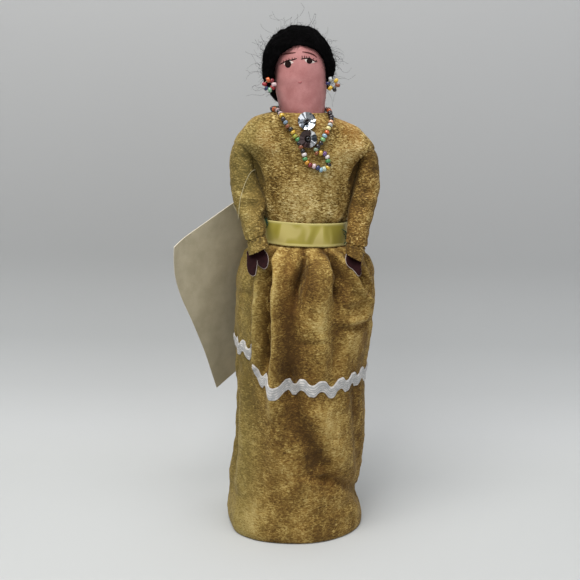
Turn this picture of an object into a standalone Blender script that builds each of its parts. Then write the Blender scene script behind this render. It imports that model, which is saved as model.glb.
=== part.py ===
"""A stuffed cloth doll in a velvet dress, built as its separate real pieces.

The doll stands upright on the XY plane and faces -Y. The origin is the centre of the base's underside.
Its own right arm is on the -X side. Lengths are in metres and turns run from the front, -Y, towards +X.
"""

import math
from collections import namedtuple

import bmesh
import bpy
from mathutils import Matrix, Vector
from mathutils.bvhtree import BVHTree

MM = 0.001

# Clearances
GAP = 0.3 * MM
CUT_OVERRUN = 4.0 * MM
MERGE_DISTANCE = 0.01 * MM

# Cloth
VELVET_WALL = 0.8 * MM

# Stiff oval base
BASE_THICKNESS = 2.0 * MM

# Waist and the ribbon belt round it
WAIST_LEVEL = 172.5 * MM
WAIST_HALF_WIDTH = 22.0 * MM
WAIST_HALF_DEPTH = 15.2 * MM
WAIST_SHIFT = 1.0 * MM
BELT_WIDTH = 12.7 * MM
BELT_WALL = 0.5 * MM
BELT_EDGE_SHOWING = 0.8 * MM

# Skirt
HEM_LIFT = 0.6 * MM
SKIRT_HALF_WIDTH = 37.6 * MM
SKIRT_HALF_DEPTH = 32.0 * MM
FOLD_DEPTH = 5.5 * MM
SKIRT_COLUMNS = 44
FRONT_CROWDING_SHARE = 0.42

# Rickrack trim on the skirt
TRIM_LEVEL = 94.0 * MM
TRIM_WAVE_HEIGHT = 2.4 * MM
TRIM_BAND = 4.8 * MM
TRIM_WALL = 0.8 * MM
TRIM_SEAT = 0.5 * MM
TRIM_WAVES = 24
TRIM_POINTS_PER_WAVE = 6
TRIM_SIDE_RISE = 6.0 * MM
TRIM_SIDE_TURN_SHARE = 0.78
TRIM_SIDE_SPREAD_SHARE = 0.05

# Bodice and the stuffed body in it
CHEST_LEVEL = 205.0 * MM
CHEST_HALF_WIDTH = 23.4 * MM
CHEST_SHIFT = 0.2 * MM
CHEST_HALF_DEPTH = 17.2 * MM
SHOULDER_LEVEL = 219.0 * MM
SHOULDER_HALF_WIDTH = 37.3 * MM
SHOULDER_HALF_DEPTH = 17.0 * MM
COLLAR_LEVEL = 236.0 * MM
BODICE_COLUMNS = 26
LOWER_BODY_HALF_WIDTH = 29.0 * MM
LOWER_BODY_HALF_DEPTH = 24.0 * MM

# Head, set into the shoulders by its neck
HEAD_SHIFT = -3.4 * MM
HEAD_HALF_WIDTH = 14.0 * MM
HEAD_HALF_DEPTH = 13.4 * MM
HEAD_HEIGHT = 41.0 * MM
NECK_SEAT_DEPTH = 9.0 * MM
HEAD_STEPS = 24

# Hair cap, placed from the crown of the head, and the lock at the nape, placed from the collar
HAIR_SHIFT = -4.6 * MM
HAIR_BACK_SHIFT = 2.5 * MM
HAIR_HALF_WIDTH = 19.6 * MM
HAIR_HALF_DEPTH = 16.8 * MM
HAIR_HALF_HEIGHT = 21.0 * MM
HAIR_OVER_CROWN = 4.0 * MM
HAIR_END_DROP = 29.4 * MM
HAIRLINE_DROP = 7.0 * MM
HAIRLINE_STEPS = 12
HAIR_SEGMENTS = 24
LOCK_HALF_WIDTH = 13.0 * MM
LOCK_HALF_DEPTH = 8.5 * MM
LOCK_HALF_HEIGHT = 9.2 * MM
LOCK_SHIFT = -8.0 * MM
LOCK_OVER_COLLAR = 3.3 * MM
LOCK_SEGMENTS = 16

# Arms: a ball of sleeve cloth turns in a socket under each dropped shoulder
ARM_BALL_RADIUS = 7.5 * MM
SHOULDER_SPREAD = 33.0 * MM
SHOULDER_PIVOT_LEVEL = 211.3 * MM
ARM_LENGTH = 49.6 * MM
ELBOW_HALF_WIDTH = 8.0 * MM
CUFF_HALF_WIDTH = 6.3 * MM
CUFF_HALF_DEPTH = 3.9 * MM
CUFF_FORWARD = 22.5 * MM
RIGHT_CUFF_INSET = 8.4 * MM
LEFT_CUFF_INSET = 5.4 * MM
CUFF_TILT = math.radians(26.0)
SLEEVE_COLUMNS = 16
SOCKET_SEGMENTS = 28

# Hands
HAND_THICKNESS = 1.2 * MM
HAND_LENGTH = 12.6 * MM
HAND_TAB = 3.5 * MM
HAND_LEAN = math.radians(27.0)

# Earrings: seed beads on a ring of thread
EARRING_DROP = 26.0 * MM
EARRING_SIDE_SPREAD = 17.6 * MM
EARRING_RADIUS = 2.7 * MM
EARRING_THREAD_RADIUS = 0.15 * MM
SMALL_BEAD_RADIUS = 1.15 * MM
SMALL_BEAD_LENGTH = 1.4 * MM
BEAD_END_SHARE = 0.55
BEAD_STEPS = 8
THREAD_RING_STEPS = 18
THREAD_SIDES = 4

# Necklace
NECKLACE_DROP = 29.0 * MM
NECKLACE_SPREAD = 15.0 * MM
NECKLACE_BEAD_RADIUS = 1.4 * MM
NECKLACE_BEAD_LENGTH = 1.6 * MM
NECKLACE_BEAD_PITCH = 2.2 * MM
NECKLACE_THREAD_RADIUS = 0.35 * MM
NECKLACE_SIDES = 6
NECKLACE_FINENESS = 8
NECKLACE_PASSES = 2
PUSH_PASSES = 4

# Cup sequins on the chest, each held by a dark bead
SEQUIN_RADIUS = 4.75 * MM
SEQUIN_WALL = 0.3 * MM
SEQUIN_CUP_DEPTH = 1.0 * MM
SEQUIN_HOLE_RADIUS = 0.5 * MM
SEQUIN_SIDE = 0.5 * MM
SEQUIN_FLOOR_SHARE = 0.3
SEQUIN_FACETS = 12
UPPER_SEQUIN_LEVEL = 232.0 * MM
LOWER_SEQUIN_LEVEL = 222.2 * MM

# Card tag, hung by a thread that goes round the right sleeve
TAG_WIDTH = 53.0 * MM
TAG_HEIGHT = 97.0 * MM
TAG_THICKNESS = 0.5 * MM
TAG_HOLE_RADIUS = 1.6 * MM
TAG_HOLE_INSET = 4.0 * MM
TAG_HOLE_LEVEL = 183.0 * MM
TAG_HOLE_BACK = 14.4 * MM
TAG_HOLE_SIDE = 36.6 * MM
TAG_HOLE_STEPS = 16
TAG_THREAD_RADIUS = 0.25 * MM
TAG_THREAD_OVER_EDGE = 7.4 * MM
TAG_THREAD_BACK_SHARE = 0.4
TAG_FACING = math.radians(42.0)
TAG_HANG = math.radians(24.0)
TAG_LEAN = math.radians(6.0)
TAG_THREAD_LOW = 184.0 * MM

Oval = namedtuple("Oval", "centre half_width half_depth tilt")

# Skirt rings from hem to gathers: level, width, depth, sideways shift and strength of the folds,
# as shares of the skirt's length, half width, half depth, half width and fold depth
SKIRT_RING_SHARES = (
    (0.000, 1.050, 1.030, -0.015, 0.00),
    (0.045, 1.030, 1.020, -0.030, 0.10),
    (0.105, 0.985, 0.985, -0.040, 0.45),
    (0.215, 0.990, 0.990, 0.006, 0.60),
    (0.350, 0.980, 0.990, 0.040, 0.75),
    (0.480, 0.965, 0.985, 0.040, 0.85),
    (0.570, 0.965, 0.990, 0.010, 0.90),
    (0.680, 1.005, 1.000, 0.022, 1.00),
    (0.800, 1.015, 1.000, 0.035, 1.00),
    (0.890, 1.010, 0.955, 0.045, 0.80),
    (0.945, 0.945, 0.820, 0.045, 0.45),
    (0.980, 0.800, 0.640, 0.035, 0.20),
)

# Main folds: height as a share of the fold depth, half width as a share of a turn, and the path
# from waist to hem as pairs of a share of the skirt's length and a share of a turn
SKIRT_FOLD_SHARES = (
    (0.75, 0.020, ((1.00, -0.080), (0.60, -0.068), (0.30, -0.055))),
    (-0.60, 0.018, ((0.96, -0.106), (0.70, -0.112), (0.50, -0.110))),
    (0.45, 0.018, ((0.96, -0.140), (0.60, -0.134), (0.40, -0.130))),
    (-0.85, 0.017, ((0.96, 0.004), (0.60, -0.014), (0.40, -0.004), (0.22, 0.030), (0.05, 0.040))),
    (0.45, 0.016, ((0.98, 0.026), (0.80, 0.040), (0.62, 0.048))),
    (0.70, 0.020, ((1.00, 0.066), (0.82, 0.118), (0.64, 0.178))),
    (-0.65, 0.018, ((0.94, 0.060), (0.84, 0.082), (0.66, 0.128), (0.50, 0.150))),
    (0.40, 0.030, ((0.50, -0.180), (0.00, -0.150))),
    (-0.45, 0.022, ((0.34, 0.150), (0.16, 0.205), (0.06, 0.230))),
    (-0.45, 0.022, ((0.58, -0.235), (0.40, -0.222))),
    (0.60, 0.026, ((1.00, -0.270), (0.50, -0.262), (0.10, -0.250))),
    (-0.60, 0.026, ((1.00, -0.335), (0.55, -0.330), (0.15, -0.345))),
    (0.55, 0.026, ((1.00, -0.400), (0.60, -0.405), (0.10, -0.395))),
    (-0.60, 0.026, ((1.00, -0.465), (0.50, -0.455), (0.20, -0.450))),
    (0.55, 0.026, ((1.00, 0.465), (0.55, 0.475), (0.10, 0.480))),
    (-0.60, 0.026, ((1.00, 0.400), (0.50, 0.408), (0.20, 0.415))),
    (0.60, 0.026, ((1.00, 0.335), (0.55, 0.340), (0.10, 0.330))),
    (-0.50, 0.026, ((1.00, 0.275), (0.60, 0.270), (0.30, 0.262))),
)
FOLD_FADE_SHARE = 0.10

# Bodice rings between its key levels: level, width and depth, as shares of the way to the next key level
WAIST_TO_CHEST_SHARES = ((0.30, 0.10, 0.20), (0.65, 0.45, 0.60), (1.00, 1.00, 1.00))
CHEST_TO_SHOULDER_SHARES = ((0.45, 0.08, 0.30), (0.80, 0.62, 0.80), (1.00, 1.00, 1.00))
SHOULDER_TO_COLLAR_SHARES = (
    (0.20, 0.06, 0.02),
    (0.41, 0.22, 0.12),
    (0.62, 0.46, 0.34),
    (0.82, 0.76, 0.66),
    (1.00, 1.00, 1.00),
)

# Lower body rings from the base to the waist: level, width and depth, as shares of that height and size
LOWER_BODY_RING_SHARES = ((0.00, 0.94, 0.94), (0.06, 1.00, 1.00), (0.50, 1.00, 1.00), (0.84, 0.96, 0.94),
                          (0.92, 0.84, 0.80))

# Head outline from crown to neck seat: radius as a share of the half width, height as a share of the height
HEAD_OUTLINE_SHARES = ((0.00, 1.000), (0.30, 0.985), (0.58, 0.940), (0.80, 0.850), (0.94, 0.735),
                       (1.00, 0.590), (1.00, 0.400), (0.975, 0.180), (0.950, 0.000))

# Sleeve rings down the arm: way down, half width, half depth, inward lean and forward reach, where the
# widths run from the ball's radius to the elbow's half width and on to the cuff's
SLEEVE_RING_SHARES = (
    (0.110, 0.25, 0.00, 0.06, 0.05),
    (0.260, 0.80, 0.00, 0.16, 0.14),
    (0.400, 1.00, 0.15, 0.30, 0.27),
    (0.540, 1.00, 0.40, 0.46, 0.43),
    (0.680, 1.00, 0.65, 0.63, 0.61),
    (0.820, 1.00, 0.85, 0.80, 0.80),
    (0.920, 1.00, 0.95, 0.91, 0.92),
    (1.000, 1.00, 1.00, 1.00, 1.00),
)
BALL_RING_TURN_SHARES = (0.10, 0.17, 0.25)

# Tag thread round the sleeve: share of a turn, and rise from its low point to the chest's level
TAG_THREAD_SHARES = ((0.62, 0.14), (0.69, 0.02), (0.76, 0.04), (0.83, 0.18), (0.90, 0.42), (0.97, 0.68),
                     (1.04, 0.86), (1.11, 0.97), (1.18, 1.00), (1.25, 0.98), (1.31, 0.90), (1.37, 0.78))

# Flat hand outline: across as a share of the width, down from the cuff as a share of the length
HAND_OUTLINE_SHARES = (
    (-0.50, 0.00), (-0.53, 0.30), (-0.50, 0.58), (-0.40, 0.82), (-0.20, 0.99), (-0.06, 1.00), (0.00, 0.84),
    (0.02, 0.60), (0.08, 0.36), (0.14, 0.52), (0.26, 0.68), (0.40, 0.66), (0.49, 0.50), (0.51, 0.26),
    (0.50, 0.00),
)
HAND_TAB_TOP_SHARE = 0.55

# Necklace over the chest, from the right side of the neck to the left: place to the side and way down,
# as shares of the spread and the drop
NECKLACE_ROUTE_SHARES = (
    (-0.680, 0.02), (-0.520, 0.14), (-0.300, 0.28), (-0.080, 0.48), (0.090, 0.65), (0.210, 0.79),
    (0.420, 0.90), (0.720, 0.96), (0.970, 0.93), (1.050, 0.83), (0.960, 0.72), (0.790, 0.64),
    (0.710, 0.55), (0.790, 0.45), (0.900, 0.33), (1.000, 0.19), (1.050, 0.06),
)
NECK_ARC_TURNS = (0.22, 0.30, 0.38, 0.46, 0.54, 0.62, 0.70, 0.78)

# Colours as the photo shows them, sRGB
VELVET_GOLD = (150, 118, 60)
RIBBON_GREEN = (190, 178, 100)
TRIM_CREAM = (217, 207, 198)
CLOTH_PINK = (192, 128, 126)
WOOL_BLACK = (18, 15, 16)
LEATHERETTE_BROWN = (46, 29, 31)
STUFFING_WHITE = (226, 220, 206)
CARD_CREAM = (212, 203, 178)
CARD_GREY = (150, 136, 110)
THREAD_PALE = (200, 190, 160)
SEQUIN_SILVER = (214, 216, 222)
BEAD_BLACK = (20, 18, 22)
BEAD_COLOURS = {
    "orange": (214, 96, 38), "red": (150, 30, 38), "white": (222, 206, 204), "green": (90, 150, 84),
    "navy": (36, 44, 92), "mauve": (150, 110, 140), "yellow": (222, 184, 60), "black": (26, 22, 26),
    "brown": (150, 84, 46), "grey": (186, 190, 190),
}
RIGHT_BEAD_ORDER = ("orange", "red", "white", "brown", "green", "navy", "mauve")
LEFT_BEAD_ORDER = ("grey", "yellow", "brown", "black", "orange", "navy")

# Sizes that follow from the ones above
BELT_INNER_GROWTH = GAP + VELVET_WALL + GAP
BELT_GROWTH = BELT_INNER_GROWTH + BELT_WALL
BELT_BOTTOM = WAIST_LEVEL - BELT_WIDTH / 2
BELT_TOP = WAIST_LEVEL + BELT_WIDTH / 2
SKIRT_LENGTH = BELT_BOTTOM - HEM_LIFT
SHOULDER_SEAT_RADIUS = ARM_BALL_RADIUS + GAP
CORE_INSET = VELVET_WALL + GAP
BODY_INSET = CORE_INSET + GAP
HEAD_FOOT = COLLAR_LEVEL - NECK_SEAT_DEPTH
HEAD_LENGTH = NECK_SEAT_DEPTH + HEAD_HEIGHT
CROWN_LEVEL = COLLAR_LEVEL + HEAD_HEIGHT
HAIR_TOP = CROWN_LEVEL + HAIR_OVER_CROWN
HAIR_END = CROWN_LEVEL - HAIR_END_DROP
HAIRLINE_TOP = CROWN_LEVEL - HAIRLINE_DROP
LOCK_LEVEL = COLLAR_LEVEL + LOCK_OVER_COLLAR + LOCK_HALF_HEIGHT
EARRING_LEVEL = CROWN_LEVEL - EARRING_DROP

PARTS = "cloth_doll"
CUTTERS = "cloth_doll_cutters"


def clear_scene():
    """Remove every object that the file holds."""
    for old in list(bpy.data.objects):
        bpy.data.objects.remove(old, do_unlink=True)


def collection_named(name):
    """Return the scene's collection of that name, made if there is none."""
    found = bpy.data.collections.get(name)
    if found is None:
        found = bpy.data.collections.new(name)
        bpy.context.scene.collection.children.link(found)
    return found


def linear(channel):
    """Turn one sRGB channel, 0 to 255, into the linear value that a shader takes."""
    value = channel / 255
    return value / 12.92 if value <= 0.04045 else ((value + 0.055) / 1.055) ** 2.4


def material(name, colour, roughness, metallic=0.0):
    """Return the Principled material of that name, made if there is none."""
    found = bpy.data.materials.get(name)
    if found is None:
        found = bpy.data.materials.new(name)
        found.use_nodes = True
        shader = found.node_tree.nodes["Principled BSDF"]
        shader.inputs["Base Color"].default_value = (*(linear(c) for c in colour), 1.0)
        shader.inputs["Roughness"].default_value = roughness
        shader.inputs["Metallic"].default_value = metallic
    return found


def velvet():
    """Gold crushed velvet of the dress."""
    return material("crushed_velvet", VELVET_GOLD, 0.85)


def stuffing():
    """White cotton stuffing in its muslin."""
    return material("stuffed_muslin", STUFFING_WHITE, 0.95)


def link_object(name, mesh, collection=PARTS):
    """Put a mesh into the scene as an object of that name."""
    piece = bpy.data.objects.new(name, mesh)
    collection_named(collection).objects.link(piece)
    return piece


def dress(piece, finish, parent=None):
    """Give a finished piece its material, smooth shading and, if it moves, its parent's origin."""
    piece.data.materials.clear()
    piece.data.materials.append(finish)
    piece.data.shade_smooth()
    piece.data.set_sharp_from_angle(angle=math.radians(40.0))
    if parent is not None:
        bpy.context.view_layer.update()
        piece.data.transform(parent.matrix_world.inverted() @ piece.matrix_world)
        piece.matrix_world = Matrix.Identity(4)
        piece.parent = parent
    return piece


def pivot(name, place, parent=None, turn=None):
    """Add an empty on a joint's axis."""
    empty = bpy.data.objects.new(name, None)
    collection_named(PARTS).objects.link(empty)
    world = Matrix.Translation(place) @ (turn or Matrix.Identity(4))
    if parent is not None:
        bpy.context.view_layer.update()
        empty.parent = parent
        world = parent.matrix_world.inverted() @ world
    empty.matrix_basis = world
    bpy.context.view_layer.update()
    return empty


def settled(piece):
    """Replace a piece's data by its evaluated mesh, with its modifiers applied."""
    bpy.context.view_layer.update()
    evaluated = piece.evaluated_get(bpy.context.evaluated_depsgraph_get())
    mesh = bpy.data.meshes.new_from_object(evaluated)
    piece.modifiers.clear()
    piece.data = mesh
    return piece


def surface_tree(piece):
    """Return a search tree of a piece's evaluated surface in world space."""
    bpy.context.view_layer.update()
    evaluated = piece.evaluated_get(bpy.context.evaluated_depsgraph_get())
    surface = bmesh.new()
    surface.from_mesh(evaluated.data)
    surface.transform(piece.matrix_world)
    bmesh.ops.triangulate(surface, faces=surface.faces)
    tree = BVHTree.FromBMesh(surface)
    surface.free()
    return tree


def lofted(name, rings):
    """Skin a stack of rings, lowest first, each running anticlockwise seen from above."""
    surface = bmesh.new()
    rows = [[surface.verts.new(point) for point in ring] for ring in rings]
    for lower, upper in zip(rows, rows[1:]):
        for index, start in enumerate(lower):
            following = (index + 1) % len(lower)
            surface.faces.new((start, lower[following], upper[following], upper[index]))
    bmesh.ops.triangulate(surface, faces=surface.faces)
    mesh = bpy.data.meshes.new(name)
    surface.to_mesh(mesh)
    surface.free()
    return link_object(name, mesh)


def turned(name, outline, steps, depth_ratio=1.0, collection=PARTS, closed=False):
    """Turn an outline of (radius, height) points, run down its outer side, round the Z axis."""
    mesh = bpy.data.meshes.new(name)
    links = [(index, index + 1) for index in range(len(outline) - 1)]
    if closed:
        links.append((len(outline) - 1, 0))
    mesh.from_pydata([(radius, 0, height) for radius, height in outline], links, [])
    piece = link_object(name, mesh, collection)
    screw = piece.modifiers.new("turn", "SCREW")
    screw.steps = steps
    screw.render_steps = steps
    screw.use_merge_vertices = True
    screw.merge_threshold = MERGE_DISTANCE
    settled(piece)
    piece.data.transform(Matrix.Diagonal((1.0, depth_ratio, 1.0, 1.0)))
    return piece


def extruded(name, outline, thickness, holes=(), collection=PARTS):
    """Make a flat piece from an outline in the XY plane, with its thickness centred on it."""
    curve = bpy.data.curves.new(name, "CURVE")
    curve.dimensions = "2D"
    curve.fill_mode = "BOTH"
    curve.extrude = thickness / 2
    for loop in (outline, *holes):
        spline = curve.splines.new("POLY")
        spline.points.add(len(loop) - 1)
        for point, (across, up) in zip(spline.points, loop):
            point.co = (across, up, 0, 1)
        spline.use_cyclic_u = True
    drawn = bpy.data.objects.new(name + "_outline", curve)
    collection_named(collection).objects.link(drawn)
    bpy.context.view_layer.update()
    evaluated = drawn.evaluated_get(bpy.context.evaluated_depsgraph_get())
    mesh = bpy.data.meshes.new_from_object(evaluated)
    bpy.data.objects.remove(drawn, do_unlink=True)
    welded = bmesh.new()
    welded.from_mesh(mesh)
    bmesh.ops.remove_doubles(welded, verts=welded.verts, dist=MERGE_DISTANCE)
    bmesh.ops.recalc_face_normals(welded, faces=welded.faces)
    welded.to_mesh(mesh)
    welded.free()
    return link_object(name, mesh, collection)


def with_wall(piece, wall):
    """Give an open outer surface its wall, inwards."""
    shell = piece.modifiers.new("wall", "SOLIDIFY")
    shell.thickness = wall
    shell.offset = -1.0
    shell.use_even_offset = True
    return piece


def core(name, rings, inset=CORE_INSET):
    """Skin the stack of rings, draw it in to lie inside a shell of that shape, and close its ends."""
    piece = lofted(name, rings)
    inward = piece.modifiers.new("shrink", "DISPLACE")
    inward.direction = "NORMAL"
    inward.mid_level = 0.0
    inward.strength = -inset
    settled(piece)
    closed = bmesh.new()
    closed.from_mesh(piece.data)
    bmesh.ops.holes_fill(closed, edges=[edge for edge in closed.edges if edge.is_boundary])
    bmesh.ops.recalc_face_normals(closed, faces=closed.faces)
    closed.to_mesh(piece.data)
    closed.free()
    return piece


def cut_by(piece, cutter):
    """Cut a piece by a cutter, which stays in the cutters' collection."""
    cutter.hide_render = True
    cutter.display_type = "WIRE"
    boolean = piece.modifiers.new("cut_" + cutter.name, "BOOLEAN")
    boolean.operation = "DIFFERENCE"
    boolean.solver = "EXACT"
    boolean.object = cutter
    return piece


def oval_ball(name, centre, radii, segments, collection):
    """Make an oval ball in a collection."""
    bpy.ops.mesh.primitive_uv_sphere_add(segments=segments, ring_count=segments // 2, radius=1.0)
    ball = bpy.context.active_object
    ball.name = name
    for holder in list(ball.users_collection):
        holder.objects.unlink(ball)
    collection_named(collection).objects.link(ball)
    ball.data.transform(Matrix.Diagonal((*radii, 1.0)))
    ball.location = centre
    return ball


def box_cutter(name, low, high):
    """Make a box that cuts, from its lowest and highest corners."""
    block = bmesh.new()
    bmesh.ops.create_cube(block, size=1.0)
    middle = (Vector(low) + Vector(high)) / 2
    size = Vector(high) - Vector(low)
    block.transform(Matrix.Translation(middle) @ Matrix.Diagonal((*size, 1.0)))
    mesh = bpy.data.meshes.new(name)
    block.to_mesh(mesh)
    block.free()
    return link_object(name, mesh, CUTTERS)


def even_turns(columns):
    """Return equal turns from the front."""
    return [index / columns for index in range(columns)]


def skirt_turns():
    """Return the skirt's column turns, crowded at the front, where its folds show."""
    return [turn - FRONT_CROWDING_SHARE * math.sin(math.tau * turn) / math.tau
            for turn in even_turns(SKIRT_COLUMNS)]


def oval_ring(oval, turns, growth=0.0, swells=None):
    """Return an oval's points, grown evenly or by one swell for each turn, tilted about Y."""
    tilt = Matrix.Rotation(oval.tilt, 3, "Y")
    points = []
    for index, turn in enumerate(turns):
        grown = growth + (swells[index] if swells else 0.0)
        flat = Vector(((oval.half_width + grown) * math.sin(math.tau * turn),
                       -(oval.half_depth + grown) * math.cos(math.tau * turn), 0))
        points.append(Vector(oval.centre) + tilt @ flat)
    return points


def between(start, end, share):
    """Return the value that lies a share of the way from start to end."""
    return start + (end - start) * share


def along(path, level):
    """Read a path of (level, value) pairs, highest level first, at one level."""
    if level >= path[0][0]:
        return path[0][1]
    for (high, upper), (low, lower) in zip(path, path[1:]):
        if level >= low:
            return between(lower, upper, (level - low) / (high - low))
    return path[-1][1]


def smooth(share):
    """Ease a share from 0 to 1."""
    held = min(max(share, 0.0), 1.0)
    return held * held * (3 - 2 * held)


def fold_swell(turn, level):
    """Return how far the skirt's folds push its surface out at a turn and a share of its length."""
    total = 0.0
    for height, half_width, path in SKIRT_FOLD_SHARES:
        away = (turn - along(path, level) + 0.5) % 1.0 - 0.5
        low_end = path[-1][0]
        high_end = path[0][0]
        fade = smooth((level - low_end + FOLD_FADE_SHARE) / FOLD_FADE_SHARE)
        fade *= smooth((high_end + FOLD_FADE_SHARE - level) / FOLD_FADE_SHARE)
        total += height * fade * math.exp(-(away / half_width) ** 2)
    return FOLD_DEPTH * total


def waist_oval(level):
    """Return the bodice's outer oval at the waist."""
    return Oval((WAIST_SHIFT, 0, level), WAIST_HALF_WIDTH, WAIST_HALF_DEPTH, 0.0)


def skirt_oval(row):
    """Return the skirt's oval for one row of its table of rings."""
    level, width, depth, shift, _ = row
    centre = (SKIRT_HALF_WIDTH * shift, 0, HEM_LIFT + SKIRT_LENGTH * level)
    return Oval(centre, SKIRT_HALF_WIDTH * width, SKIRT_HALF_DEPTH * depth, 0.0)


def bodice_ovals():
    """Return the bodice's outer ovals from the waist to the collar."""
    neck_growth = GAP + VELVET_WALL
    waist = waist_oval(BELT_TOP)
    chest = Oval((CHEST_SHIFT, 0, CHEST_LEVEL), CHEST_HALF_WIDTH, CHEST_HALF_DEPTH, 0.0)
    shoulder = Oval((0, 0, SHOULDER_LEVEL), SHOULDER_HALF_WIDTH, SHOULDER_HALF_DEPTH, 0.0)
    collar = Oval((HEAD_SHIFT, 0, COLLAR_LEVEL), neck_half_width() + neck_growth,
                  neck_half_depth() + neck_growth, 0.0)
    ovals = [waist_oval(BELT_BOTTOM), waist]
    legs = ((waist, chest, WAIST_TO_CHEST_SHARES), (chest, shoulder, CHEST_TO_SHOULDER_SHARES),
            (shoulder, collar, SHOULDER_TO_COLLAR_SHARES))
    for start, end, shares in legs:
        for level, width, depth in shares:
            centre = Vector(start.centre).lerp(Vector(end.centre), level)
            centre.x = between(start.centre[0], end.centre[0], width)
            ovals.append(Oval(centre, between(start.half_width, end.half_width, width),
                              between(start.half_depth, end.half_depth, depth), 0.0))
    return ovals


def head_outline(growth):
    """Return the head's outline, grown evenly, from the crown down to the neck's foot."""
    points = []
    for radius, height in HEAD_OUTLINE_SHARES:
        grown_height = HEAD_FOOT + HEAD_LENGTH * height
        if height == 1.0:
            grown_height += growth
        if height == 0.0:
            grown_height -= growth
        grown_radius = HEAD_HALF_WIDTH * radius
        if radius > 0.0:
            grown_radius += growth
        points.append((grown_radius, grown_height))
    points.append((0.0, points[-1][1]))
    return points


def head_radius_at(level):
    """Return the head's half width at a level."""
    outline = head_outline(0.0)
    for (upper_radius, upper), (lower_radius, lower) in zip(outline, outline[1:]):
        if lower <= level <= upper and upper > lower:
            return between(lower_radius, upper_radius, (level - lower) / (upper - lower))
    return HEAD_HALF_WIDTH


def neck_half_width():
    """Half width of the neck where it leaves the collar."""
    return head_radius_at(COLLAR_LEVEL)


def neck_half_depth():
    """Half depth of the neck where it leaves the collar."""
    return neck_half_width() * HEAD_HALF_DEPTH / HEAD_HALF_WIDTH


def shoulder_point(side):
    """Centre of one shoulder's socket, side -1 for the doll's right arm."""
    return Vector((side * SHOULDER_SPREAD, 0, SHOULDER_PIVOT_LEVEL))


def sleeve_ovals(side):
    """Return one sleeve's outer ovals from the cuff up to the ball in the shoulder."""
    top = shoulder_point(side)
    inset = LEFT_CUFF_INSET if side > 0 else RIGHT_CUFF_INSET
    ovals = []
    for turn in BALL_RING_TURN_SHARES:
        centre = top + Vector((0, 0, ARM_BALL_RADIUS * math.cos(math.tau * turn)))
        radius = ARM_BALL_RADIUS * math.sin(math.tau * turn)
        ovals.append(Oval(centre, radius, radius, 0.0))
    for way, swell, narrowing, lean, reach in SLEEVE_RING_SHARES:
        centre = top + Vector((-side * inset * lean, -CUFF_FORWARD * reach, -ARM_LENGTH * way))
        elbow = between(ARM_BALL_RADIUS, ELBOW_HALF_WIDTH, swell)
        width = between(elbow, CUFF_HALF_WIDTH, narrowing)
        depth = between(ARM_BALL_RADIUS, CUFF_HALF_DEPTH, narrowing)
        ovals.append(Oval(centre, width, depth, side * CUFF_TILT * lean))
    return list(reversed(ovals))


def make_base():
    """Cut the stiff oval card that closes the hem and stands on the table."""
    hem = skirt_oval(SKIRT_RING_SHARES[0])
    ring = oval_ring(hem, skirt_turns(), -CORE_INSET - GAP)
    base = extruded("base_disc", [(point.x, point.y) for point in ring], BASE_THICKNESS)
    base.data.transform(Matrix.Translation((0, 0, BASE_THICKNESS / 2)))
    return dress(base, material("grey_card", CARD_GREY, 0.9))


def make_stuffed_body(neck_cutter, sockets):
    """Build the one stuffed body under the dress, from the base to the shoulders."""
    turns = even_turns(BODICE_COLUMNS)
    foot = BASE_THICKNESS + GAP
    rings = []
    for level, width, depth in LOWER_BODY_RING_SHARES:
        centre = (WAIST_SHIFT * level, 0, between(foot, BELT_BOTTOM, level))
        oval = Oval(centre, LOWER_BODY_HALF_WIDTH * width, LOWER_BODY_HALF_DEPTH * depth, 0.0)
        rings.append(oval_ring(oval, turns, BODY_INSET))
    for oval in bodice_ovals()[:-1]:
        rings.append(oval_ring(oval, turns))
    body = core("stuffed_body", rings, BODY_INSET)
    for cutter in (neck_cutter, *sockets):
        cut_by(body, cutter)
    return dress(body, stuffing())


def make_bodice(sockets):
    """Build the bodice, a velvet shell with round seats for the sleeves under its shoulders."""
    rings = [oval_ring(oval, even_turns(BODICE_COLUMNS)) for oval in bodice_ovals()]
    bodice = with_wall(lofted("bodice", rings), VELVET_WALL)
    for cutter in sockets:
        cut_by(bodice, cutter)
    return dress(bodice, velvet())


def make_skirt():
    """Build the skirt with its gathers and main folds, held under the belt."""
    turns = skirt_turns()
    rings = []
    for row in SKIRT_RING_SHARES:
        swells = [row[4] * fold_swell(turn, row[0]) for turn in turns]
        rings.append(oval_ring(skirt_oval(row), turns, swells=swells))
    for level in (BELT_BOTTOM, BELT_TOP - BELT_EDGE_SHOWING):
        rings.append(oval_ring(waist_oval(level), turns, GAP + VELVET_WALL))
    return dress(with_wall(lofted("skirt", rings), VELVET_WALL), velvet())


def make_belt():
    """Wrap the ribbon belt round the skirt's gathered edge."""
    rings = [oval_ring(waist_oval(level), skirt_turns(), BELT_GROWTH) for level in (BELT_BOTTOM, BELT_TOP)]
    belt = with_wall(lofted("belt", rings), BELT_WALL)
    return dress(belt, material("satin_ribbon", RIBBON_GREEN, 0.4))


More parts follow.
